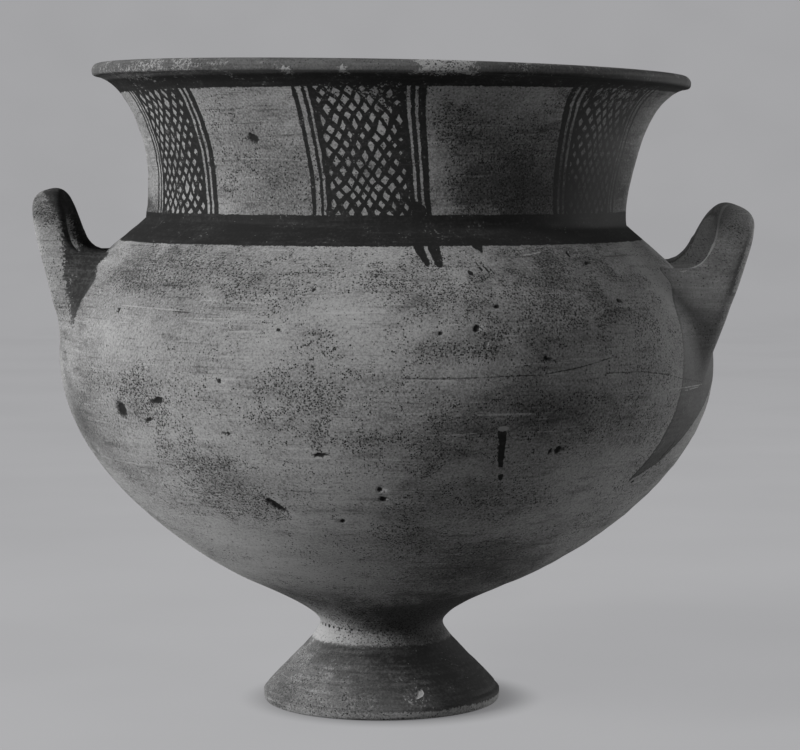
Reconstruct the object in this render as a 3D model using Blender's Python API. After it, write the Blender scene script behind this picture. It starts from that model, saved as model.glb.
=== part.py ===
"""A wheel-made two-handled footed bowl: one fired clay body on a hollow conical foot.

Metres, +Z up. The foot stands on z = 0 and the handles lie along X. The origin is on the floor,
halfway between the outermost points of the two handles.
"""

import math
from collections import namedtuple

import bmesh
import bpy
from mathutils import Vector
from mathutils.geometry import interpolate_bezier

# Turned body: radii and heights on its outer side, from the foot up
FOOT_RADIUS = 0.0486
FOOT_EDGE_HEIGHT = 0.0046
STEM_RADIUS = 0.0252
STEM_HEIGHT = 0.0322
BOWL_START = (0.0592, 0.0530)
BELLY_RADIUS = 0.1332
BELLY_HEIGHT = 0.1415
NECK_RADIUS = 0.0978
NECK_HEIGHT = 0.1970
LIP_START = (0.1185, 0.2534)
LIP_RADIUS = 0.1211
RIM_HEIGHT = 0.2584

# How the outer side curves between those places: the two handles of each Bezier curve
FOOT_BEND = ((0.0430, 0.0124), (STEM_RADIUS, 0.0268))
FLARE_BEND = ((STEM_RADIUS, 0.0388), (0.0518, 0.0494))
BOWL_BEND = ((0.0823, 0.0644), (BELLY_RADIUS, 0.0981))
SHOULDER_BEND = ((BELLY_RADIUS, 0.1714), (0.1128, 0.1838))
NECK_BEND = ((0.0955, 0.2105), (0.1010, 0.2475))

# Clay thickness and hollows
WALL = 0.0056
FLOOR_HEIGHT = 0.0455
FLOOR_EDGE = (0.0562, 0.0586)
FLOOR_BEND = ((0.0240, FLOOR_HEIGHT), (0.0400, 0.0507))
INNER_TOP = 0.2500
RESTING_RADIUS = 0.0385
FOOT_HOLLOW_HEIGHT = 0.0160
HOLLOW_STEPS = 5

# The bowl is slightly off true: it leans to +X over a level foot
FOOT_CENTRE_X = -0.0046
BELLY_DRIFT = 0.0021
NECK_DRIFT = 0.0020
LEAN = math.radians(0.95)
LEAN_FROM, LEAN_TO = 0.035, 0.075
DRIFT_FROM = 0.050
NECK_DRIFT_TO = 0.227
RIM_DROOP = 0.0014

SEGMENTS = 64
SECTION_SIDES = 12
CORE_FROM = 0.085

# A handle is a roll of clay bent into an arch. side is +1 or -1 along X, and crown is the middle of
# the roll at the arch's top, as (x, z) along the handle's own side. The arch widens to half_span
# over arch_height, and its two legs run on down, leaning in by slope, to end_height. Inside the
# legs a web rises from the shoulder to web_height, with a hollow of web_radius above it.
Handle = namedtuple(
    "Handle",
    "name side crown slope half_span arch_height end_height half_out half_across web_height web_radius",
)
RIGHT = Handle(
    name="right",
    side=1,
    crown=(0.1382, 0.1976),
    slope=0.385,
    half_span=0.0440,
    arch_height=0.0330,
    end_height=0.1260,
    half_out=0.0076,
    half_across=0.0063,
    web_height=0.1776,
    web_radius=0.0137,
)
LEFT = Handle(
    name="left",
    side=-1,
    crown=(0.1391, 0.2042),
    slope=0.270,
    half_span=0.0290,
    arch_height=0.0300,
    end_height=0.1290,
    half_out=0.0065,
    half_across=0.0061,
    web_height=0.1834,
    web_radius=0.0100,
)
ARCH_POWER = 2.4
SECTION_POWER = 2.7
LEG_SPLAY = 0.0030
ROOT_FLARE = 0.0024
TUCK = 0.0080
TUCK_HEIGHT = 0.0210
WEB_REACH = 0.0320

# Shares of the way down a handle's half where it has a ring: 1 is the end of the arch, 2 the leg's
HANDLE_RINGS = (0.12, 0.25, 0.38, 0.50, 0.60, 0.68, 0.75, 0.82, 0.91, 1.0, 1.2, 1.4, 1.6, 1.8, 2.0)

CLAY = (0.36, 0.36, 0.35, 1.0)


def clear_scene():
    for thing in list(bpy.data.objects):
        bpy.data.objects.remove(thing, do_unlink=True)


def smooth_step(low, high, value):
    share = min(max((value - low) / (high - low), 0.0), 1.0)
    return share * share * (3.0 - 2.0 * share)


def bezier(points, count):
    """count + 1 points on the cubic Bezier curve through the first and last point."""
    corners = [Vector((r, z, 0.0)) for r, z in points]
    curve = interpolate_bezier(*corners, count + 1)
    return [(p.x, p.y) for p in curve]


def outer_side():
    """(r, z) from the foot's edge up to the underside of the lip."""
    places = (
        (FOOT_RADIUS, FOOT_EDGE_HEIGHT),
        (STEM_RADIUS, STEM_HEIGHT),
        BOWL_START,
        (BELLY_RADIUS, BELLY_HEIGHT),
        (NECK_RADIUS, NECK_HEIGHT),
        LIP_START,
    )
    bends = (FOOT_BEND, FLARE_BEND, BOWL_BEND, SHOULDER_BEND, NECK_BEND)
    side = [places[0]]
    for start, bend, end, steps in zip(places, bends, places[1:], (6, 5, 7, 6, 7)):
        side += bezier((start, *bend, end), steps)[1:]
    return side


def offset_inward(side, depth):
    """The curve at a depth under an outer side that runs upward."""
    inner = []
    last = len(side) - 1
    for i, (r, z) in enumerate(side):
        before, after = side[max(i - 1, 0)], side[min(i + 1, last)]
        dr, dz = after[0] - before[0], after[1] - before[1]
        length = math.hypot(dr, dz)
        inner.append((r - depth * dz / length, z + depth * dr / length))
    return inner


def outline():
    """The whole section of the wall, from the axis under the foot round to the axis on the floor."""
    hollow = []
    for i in range(HOLLOW_STEPS):
        turn = 0.5 * math.pi * i / HOLLOW_STEPS
        hollow.append((RESTING_RADIUS * math.sin(turn), FOOT_HOLLOW_HEIGHT * math.cos(turn)))
    resting_ring = [(RESTING_RADIUS, 0.0), (FOOT_RADIUS - 0.0012, 0.0), (FOOT_RADIUS, 0.0014)]
    outside = outer_side()
    lip = [
        (LIP_RADIUS - 0.0004, RIM_HEIGHT - 0.0044),
        (LIP_RADIUS, RIM_HEIGHT - 0.0022),
        (LIP_RADIUS - 0.0012, RIM_HEIGHT - 0.0004),
        (LIP_RADIUS - 0.0032, RIM_HEIGHT),
        (LIP_RADIUS - 0.0072, RIM_HEIGHT - 0.0008),
    ]
    inside = [p for p in offset_inward(outside, WALL) if p[0] > FLOOR_EDGE[0] and p[1] < INNER_TOP]
    floor = bezier(((0.0, FLOOR_HEIGHT), *FLOOR_BEND, FLOOR_EDGE), 4)
    return hollow + resting_ring + outside + lip + inside[::-1] + floor[::-1]


def lean(point):
    """Moves a point of the true turned body to its place on the leaning one."""
    x, y, z = point
    angle = LEAN * smooth_step(LEAN_FROM, LEAN_TO, z)
    drift = BELLY_DRIFT * smooth_step(DRIFT_FROM, BELLY_HEIGHT, z)
    drift += NECK_DRIFT * smooth_step(NECK_HEIGHT, NECK_DRIFT_TO, z)
    droop = RIM_DROOP * max(x / LIP_RADIUS, 0.0) ** 2 * smooth_step(NECK_HEIGHT, RIM_HEIGHT, z) ** 3
    return Vector((FOOT_CENTRE_X + drift + x, y, z - x * math.sin(angle) - droop))


def revolve(mesh, section):
    """Turns a section that starts and ends on the axis into a closed leaning body."""
    rings = []
    for r, z in section:
        if r < 1e-6:
            rings.append([mesh.verts.new(lean((0.0, 0.0, z)))])
            continue
        ring = []
        for i in range(SEGMENTS):
            turn = 2.0 * math.pi * i / SEGMENTS
            ring.append(mesh.verts.new(lean((r * math.cos(turn), r * math.sin(turn), z))))
        rings.append(ring)
    for low, high in zip(rings, rings[1:]):
        for i in range(SEGMENTS):
            j = (i + 1) % SEGMENTS
            corners = [low[i % len(low)], low[j % len(low)], high[j % len(high)], high[i % len(high)]]
            mesh.faces.new(list(dict.fromkeys(corners)))
    bmesh.ops.recalc_face_normals(mesh, faces=mesh.faces)


def finish_object(name, mesh):
    data = bpy.data.meshes.new(name)
    mesh.to_mesh(data)
    mesh.free()
    thing = bpy.data.objects.new(name, data)
    bpy.context.scene.collection.objects.link(thing)
    return thing


def body():
    mesh = bmesh.new()
    revolve(mesh, outline())
    return finish_object("footed_bowl", mesh)


def wall_core():
    """A cutter that ends the handles inside the wall, so that they don't reach the hollow."""
    middle = [p for p in offset_inward(outer_side(), 0.5 * WALL) if CORE_FROM < p[1] < NECK_HEIGHT]
    section = [(0.0, middle[0][1])] + middle + [(0.0, middle[-1][1])]
    mesh = bmesh.new()
    revolve(mesh, section)
    core = finish_object("wall_core", mesh)
    core.hide_render = True
    core.display_type = "WIRE"
    return core


def handle_centre(handle, share):
    """Middle of the roll at a share of the way from the crown down a leg, as (x, across, z)."""
    x, crown_height = handle.crown
    leg_height = crown_height - handle.arch_height - handle.end_height
    if share < 1.0:
        turn = 0.5 * math.pi * share
        drop = handle.arch_height * (1.0 - math.cos(turn) ** (2.0 / ARCH_POWER))
        across = handle.half_span * math.sin(turn) ** (2.0 / ARCH_POWER)
    else:
        drop = handle.arch_height + leg_height * (share - 1.0)
        across = handle.half_span + LEG_SPLAY * (share - 1.0) ** 2
    height = crown_height - drop
    tuck = max(0.0, 1.0 - (height - handle.end_height) / TUCK_HEIGHT)
    return Vector((x - handle.slope * drop - TUCK * tuck * tuck, across, height))


def inward_reach(handle, centre):
    """How far the roll or its web reaches from its middle towards the vessel."""
    top = handle.web_height + handle.web_radius
    tilt = math.atan(handle.slope)
    tangent_height = top - handle.web_radius * math.sin(tilt)
    plain = handle.half_out / math.cos(tilt)
    if centre.z >= tangent_height:
        return handle.half_out
    if centre.z < handle.web_height:
        return WEB_REACH
    inner_x = handle.crown[0] - handle.slope * (handle.crown[1] - tangent_height) - plain
    hollow_x = inner_x - handle.web_radius * math.cos(tilt)
    curve = hollow_x + math.sqrt(max(handle.web_radius**2 - (centre.z - top) ** 2, 0.0))
    return max(handle.half_out, centre.x - curve)


def handle_section(handle, position):
    """One ring of the roll. position runs from -2 at one leg's end to 2 at the other's."""
    share = abs(position)
    half = 1.0 if position >= 0.0 else -1.0
    centre = handle_centre(handle, share)
    step = 0.01
    ahead = Vector((0.0, 1.0, 0.0))
    if share > step:
        ahead = handle_centre(handle, min(share + step, 2.0)) - handle_centre(handle, share - step)
    tilt = math.atan(handle.slope) * (1.0 - smooth_step(0.3, 0.7, share))
    outward = Vector((math.cos(tilt), 0.0, -math.sin(tilt)))
    in_arch = ahead.cross(outward).normalized()
    inward = inward_reach(handle, centre)
    half_across = handle.half_across + ROOT_FLARE * smooth_step(0.6, 1.2, share)
    ring = []
    for i in range(SECTION_SIDES):
        turn = 2.0 * math.pi * (i + 0.5) / SECTION_SIDES
        c, s = math.cos(turn), math.sin(turn)
        reach = math.copysign(abs(c) ** (2.0 / SECTION_POWER), c)
        rise = math.copysign(abs(s) ** (2.0 / SECTION_POWER), s)
        middle = 0.5 * (handle.half_out - inward)
        point = centre + outward * (middle + 0.5 * (handle.half_out + inward) * reach)
        point += in_arch * half_across * rise
        ring.append(Vector((handle.side * point.x, half * point.y, point.z)))
    return ring


def handle_roll(handle):
    mesh = bmesh.new()
    rings = []
    for position in [-s for s in reversed(HANDLE_RINGS)] + [0.0] + list(HANDLE_RINGS):
        rings.append([mesh.verts.new(p) for p in handle_section(handle, position)])
    for low, high in zip(rings, rings[1:]):
        for i in range(SECTION_SIDES):
            j = (i + 1) % SECTION_SIDES
            mesh.faces.new((low[i], low[j], high[j], high[i]))
    mesh.faces.new(rings[0])
    mesh.faces.new(rings[-1])
    bmesh.ops.recalc_face_normals(mesh, faces=mesh.faces)
    roll = finish_object(handle.name + "_roll", mesh)
    roll.hide_render = True
    roll.display_type = "WIRE"
    return roll


def boolean(thing, other, operation):
    modifier = thing.modifiers.new(operation.lower() + "_" + other.name, "BOOLEAN")
    modifier.operation = operation
    modifier.object = other
    modifier.solver = "EXACT"


def fired_clay():
    material = bpy.data.materials.new("fired_clay")
    material.use_nodes = True
    shader = material.node_tree.nodes["Principled BSDF"]
    shader.inputs["Base Color"].default_value = CLAY
    shader.inputs["Roughness"].default_value = 0.78
    shader.inputs["Metallic"].default_value = 0.0
    return material


def main():
    clear_scene()
    bowl = body()
    core = wall_core()
    for handle in (RIGHT, LEFT):
        roll = handle_roll(handle)
        boolean(roll, core, "DIFFERENCE")
        boolean(bowl, roll, "UNION")
    bowl.data.materials.append(fired_clay())
    bowl.data.shade_smooth()
    bowl.data.set_sharp_from_angle(angle=math.radians(40))


main()
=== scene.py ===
"""Surface, paint and studio of a wheel-made two-handled footed bowl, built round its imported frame.

Metres, +Z up. The bowl stands on z = 0 with its handles along X, and its front faces -Y.
Azimuths are in degrees round the bowl: 0 at the front and 90 at the right handle.
"""

import math
from collections import namedtuple
from functools import partial, reduce

import bmesh
import bpy
import numpy as np
from bpy.props import FloatProperty, FloatVectorProperty, IntProperty, PointerProperty
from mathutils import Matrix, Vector, noise
from mathutils.bvhtree import BVHTree
from mathutils.geometry import interpolate_bezier


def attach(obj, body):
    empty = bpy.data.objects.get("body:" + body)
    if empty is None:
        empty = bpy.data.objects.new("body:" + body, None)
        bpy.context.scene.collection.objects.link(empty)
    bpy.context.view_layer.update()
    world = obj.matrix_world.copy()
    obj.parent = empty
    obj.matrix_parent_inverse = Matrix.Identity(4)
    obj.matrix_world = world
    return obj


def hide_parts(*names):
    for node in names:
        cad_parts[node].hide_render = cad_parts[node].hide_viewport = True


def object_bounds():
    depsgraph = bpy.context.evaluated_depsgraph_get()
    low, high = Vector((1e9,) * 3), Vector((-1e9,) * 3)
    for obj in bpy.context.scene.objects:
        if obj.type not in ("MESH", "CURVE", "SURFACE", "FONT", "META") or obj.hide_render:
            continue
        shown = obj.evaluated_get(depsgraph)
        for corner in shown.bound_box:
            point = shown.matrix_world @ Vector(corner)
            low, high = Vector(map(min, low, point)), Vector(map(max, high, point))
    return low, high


bl_info = {
    "name": "Footed Bowl",
    "version": (1, 0, 0),
    "blender": (4, 5, 0),
    "location": "View3D > Sidebar > Footed Bowl",
    "description": "Builds a worn, painted, two-handled footed bowl and its studio",
    "category": "Object",
}

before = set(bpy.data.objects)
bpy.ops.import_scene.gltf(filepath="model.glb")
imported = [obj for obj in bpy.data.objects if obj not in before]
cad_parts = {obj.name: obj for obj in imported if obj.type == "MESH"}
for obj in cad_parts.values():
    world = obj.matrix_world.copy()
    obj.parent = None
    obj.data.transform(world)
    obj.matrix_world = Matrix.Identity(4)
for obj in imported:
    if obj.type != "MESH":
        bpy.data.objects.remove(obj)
CAD_LOW, CAD_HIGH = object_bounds()

# --- The turned body: radii and heights on its outer side, from the foot up ---
FOOT_RADIUS = 0.0486
FOOT_EDGE_HEIGHT = 0.0046
STEM_RADIUS = 0.0252
STEM_HEIGHT = 0.0322
BOWL_START = (0.0592, 0.0530)
BELLY_RADIUS = 0.1332
BELLY_HEIGHT = 0.1415
NECK_RADIUS = 0.0978
NECK_HEIGHT = 0.1970
LIP_START = (0.1185, 0.2534)
LIP_RADIUS = 0.1211
RIM_HEIGHT = 0.2584
FOOT_BEND = ((0.0430, 0.0124), (STEM_RADIUS, 0.0268))
FLARE_BEND = ((STEM_RADIUS, 0.0388), (0.0518, 0.0494))
BOWL_BEND = ((0.0823, 0.0644), (BELLY_RADIUS, 0.0981))
SHOULDER_BEND = ((BELLY_RADIUS, 0.1714), (0.1128, 0.1838))
NECK_BEND = ((0.0955, 0.2105), (0.1010, 0.2475))
WALL = 0.0056

# Steps along the outer side's five stretches, for the skin, the inside, the wall's core and reading a radius
SKIN_STEPS = (40, 26, 62, 46, 44)
INSIDE_STEPS = (12, 10, 28, 18, 21)
CORE_STEPS = (12, 10, 30, 24, 24)
READING_STEPS = (12, 10, 40, 30, 30)
SKIN_CROWDING = 1.7

FLOOR_HEIGHT = 0.0455
FLOOR_EDGE = (0.0562, 0.0586)
FLOOR_BEND = ((0.0240, FLOOR_HEIGHT), (0.0400, 0.0507))
INNER_TOP = 0.2500
RESTING_RADIUS = 0.0385
FOOT_HOLLOW_HEIGHT = 0.0160
# The foot's rounded edge as steps from its radius, and the lip as steps from its radius and the rim
FOOT_EDGE = ((-0.0036, 0), (-0.0016, 0), (-0.0007, 0.0004), (-0.0002, 0.0012), (0, 0.0022), (0, 0.0034))
LIP_ROUND = ((-0.0004, -0.0044), (0, -0.0022), (-0.0012, -0.0004), (-0.0032, 0), (-0.0072, -0.0008))
GROOVE_HEIGHT, GROOVE_HALF = 0.0061, 0.0006
# Ridges left by the potter's fingers, as (spacing, turns round the bowl, start, share of the depth)
RIDGES = ((0.0113, 1, 1.2, 0.40), (0.0067, -1, 0.4, 0.28), (0.0041, 2, 2.9, 0.22))
THROWING_SPACING = 0.0092

# The bowl is slightly off true: it leans to +X over a level foot
FOOT_CENTRE_X = -0.0046
BELLY_DRIFT = 0.0021
NECK_DRIFT = 0.0020
LEAN = math.radians(0.95)
LEAN_FROM, LEAN_TO = 0.035, 0.075
DRIFT_FROM = 0.050
NECK_DRIFT_TO = 0.227
RIM_DROOP = 0.0014
AXIS_X = FOOT_CENTRE_X + BELLY_DRIFT + NECK_DRIFT

# --- The handles: rolls of clay bent into arches, with a web inside their legs ---
Handle = namedtuple(
    "Handle",
    "name side crown slope half_span arch_height end_height half_out half_across web_height web_radius",
)
RIGHT = Handle(
    name="right",
    side=1,
    crown=(0.1382, 0.1976),
    slope=0.385,
    half_span=0.0440,
    arch_height=0.0330,
    end_height=0.1260,
    half_out=0.0076,
    half_across=0.0063,
    web_height=0.1776,
    web_radius=0.0137,
)
LEFT = Handle(
    name="left",
    side=-1,
    crown=(0.1391, 0.2042),
    slope=0.270,
    half_span=0.0290,
    arch_height=0.0300,
    end_height=0.1290,
    half_out=0.0065,
    half_across=0.0061,
    web_height=0.1834,
    web_radius=0.0100,
)
ARCH_POWER = 2.4
SECTION_POWER = 2.7
LEG_SPLAY = 0.0030
ROOT_FLARE = 0.0024
TUCK = 0.0080
TUCK_HEIGHT = 0.0210
WEB_REACH = 0.0320
CORE_FROM = 0.085
# Where the joints and the paint beside the handles are looked for: out from the middle, and in height
JOINTS_BEYOND, JOINTS_ABOVE = 0.070, 0.090
JOINTS_MERGE, SHORTEST_EDGE = 0.00025, 0.00005
PAINT_BESIDE, PAINT_ABOVE, PAINT_BELOW = 0.060, 0.080, 0.235

# --- Marks of making and wear, placed by azimuth in degrees and height in metres ---
Chip = namedtuple("Chip", "azimuth height half_width half_height turn depth pale", defaults=(False,))
CHIPS = (
    Chip(-30.7, 0.2299, 0.0026, 0.0018, -25, 0.0006),
    Chip(-50.4, 0.1274, 0.0033, 0.0034, -12, 0.0009),
    Chip(-40.6, 0.1324, 0.0027, 0.0013, 12, 0.0008),
    Chip(-43.6, 0.1246, 0.0020, 0.0008, 20, 0.0004),
    Chip(-22.1, 0.0931, 0.0046, 0.0013, -38, 0.0008),
    Chip(-1.9, 0.1007, 0.0009, 0.0010, 0, 0.0006),
    Chip(-1.4, 0.0970, 0.0013, 0.0010, 0, 0.0006),
    Chip(-9.7, 0.0876, 0.0011, 0.0008, 0, 0.0005),
    Chip(-11.8, 0.1143, 0.0026, 0.0008, 8, 0.0004),
    Chip(29.4, 0.1147, 0.0013, 0.0017, -25, 0.0007),
    Chip(27.9, 0.1143, 0.0006, 0.0014, -20, 0.0004),
    Chip(18.3, 0.1238, 0.0017, 0.0012, 10, 0.0005, True),
    Chip(15.5, 0.0096, 0.0024, 0.0013, 35, 0.0004, True),
    Chip(-52.5, 0.1650, 0.0008, 0.0012, 20, 0.0004),
    Chip(-27.8, 0.1408, 0.0008, 0.0010, 0, 0.0005),
    Chip(-18.1, 0.1600, 0.0012, 0.0005, -25, 0.0004),
    Chip(-13.2, 0.1745, 0.0006, 0.0009, 0, 0.0004),
    Chip(-27.3, 0.1213, 0.0008, 0.0007, 0, 0.0005),
    Chip(18.0, 0.1683, 0.0010, 0.0007, 0, 0.0005),
    Chip(25.6, 0.1494, 0.0010, 0.0010, 0, 0.0006),
    Chip(14.0, 0.1607, 0.0011, 0.0016, -30, 0.0006),
    Chip(15.6, 0.1552, 0.0008, 0.0008, 0, 0.0004, True),
    Chip(41.5, 0.1828, 0.0013, 0.0005, 20, 0.0003),
    Chip(44.0, 0.1690, 0.0010, 0.0009, 0, 0.0004),
    Chip(38.4, 0.1862, 0.0005, 0.0014, 0, 0.0003),
    Chip(8.0, 0.1592, 0.0009, 0.0007, 30, 0.0004),
    Chip(155.0, 0.1460, 0.0030, 0.0018, 20, 0.0007),
    Chip(-118.0, 0.0980, 0.0016, 0.0012, 0, 0.0006),
)

# Runs and touches of paint outside the drawn pattern, each drawn from one place and half width to another
Stroke = namedtuple("Stroke", "azimuth height half_width to_azimuth to_height to_half_width")
STROKES = (
    Stroke(5.5, 0.1900, 0.0020, 6.8, 0.1838, 0.0011),
    Stroke(8.6, 0.1900, 0.0024, 9.1, 0.1835, 0.0014),
    Stroke(18.0, 0.1900, 0.0024, 18.4, 0.1880, 0.0006),
    Stroke(14.6, 0.1804, 0.0009, 14.9, 0.1800, 0.0007),
    Stroke(16.4, 0.1836, 0.0003, 17.0, 0.1814, 0.0005),
    Stroke(17.5, 0.1830, 0.0003, 18.3, 0.1804, 0.0003),
    Stroke(18.5, 0.1824, 0.0002, 19.3, 0.1797, 0.0002),
    Stroke(18.4, 0.1222, 0.0017, 18.9, 0.1120, 0.0013),
    Stroke(18.9, 0.1120, 0.0010, 19.6, 0.1048, 0.0010),
    Stroke(4.6, 0.2068, 0.0006, 6.6, 0.2026, 0.0026),
    Stroke(62.4, 0.1122, 0.0005, 58.6, 0.1015, 0.0001),
    Stroke(60.6, 0.1085, 0.0003, 56.8, 0.0992, 0.0003),
    Stroke(64.4, 0.1108, 0.0004, 61.2, 0.1040, 0.0001),
    Stroke(57.6, 0.1002, 0.0002, 54.0, 0.0978, 0.0007),
)

# Hairline cracks, which hold dirt, and pale scratches, as runs of (azimuth, height)
CRACKS = (
    ((1.5, 0.1431), (9.0, 0.1428), (17.0, 0.1432), (25.0, 0.1434), (32.0, 0.1455), (40.0, 0.1490)),
    ((37.0, 0.1428), (46.0, 0.1423), (53.5, 0.1402), (58.0, 0.1380), (62.0, 0.1368), (68.5, 0.1349)),
    ((-13.4, 0.1510), (-13.2, 0.1546), (-12.4, 0.1560)),
    ((-38.0, 0.1655), (-29.0, 0.1648)),
    ((41.0, 0.1320), (42.5, 0.1262), (42.0, 0.1236)),
    ((140.0, 0.1300), (152.0, 0.1322), (161.0, 0.1318)),
)
SCRATCHES = (
    ((13.0, 0.1293), (23.5, 0.1291)),
    ((8.5, 0.1217), (14.0, 0.1224)),
    ((35.5, 0.1628), (39.5, 0.1662)),
    ((14.0, 0.0866), (15.6, 0.0880), (18.0, 0.0940)),
    ((27.0, 0.1862), (31.5, 0.1872)),
    ((54.0, 0.1344), (68.0, 0.1340)),
    ((3.0, 0.1424), (10.0, 0.1420)),
    ((-27.0, 0.1590), (-15.0, 0.1600)),
    ((-36.0, 0.1634), (-21.0, 0.1638)),
    ((-52.0, 0.1668), (-36.0, 0.1660)),
    ((-22.0, 0.1386), (-19.5, 0.1402), (-18.2, 0.1430)),
    ((-47.0, 0.1395), (-49.0, 0.1412)),
    ((-4.0, 0.1130), (2.0, 0.1126)),
    ((-21.5, 0.0862), (-12.0, 0.0842)),
    ((-110.0, 0.1510), (-100.0, 0.1520)),
    ((118.0, 0.1200), (126.0, 0.1222)),
    ((60.0, 0.1330), (66.5, 0.1334)),
)
HAIRLINE = 0.00016
HIGHLIT_EDGE_WIDTH = 1.2
# The skin is split finely this far round chips and strokes, in metres, and, in millimetres, this far
# from the hairlines and from the handle's pale edge line
FINE_ROUND, FINE_BY_LINE, FINE_BY_EDGE = 0.0024, 1.9, 2.4

# The right handle's inner front edge as places in metres: rubbed pale, together with a painted highlight
# along its ridge
WORN_AND_HIGHLIT_EDGE = (
    (0.1346, -0.0125, 0.2037),
    (0.1320, -0.0200, 0.2012),
    (0.1296, -0.0288, 0.1960),
    (0.1290, -0.0340, 0.1925),
    (0.1265, -0.0400, 0.1880),
    (0.1207, -0.0452, 0.1811),
    (0.1133, -0.0486, 0.1789),
)

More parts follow.
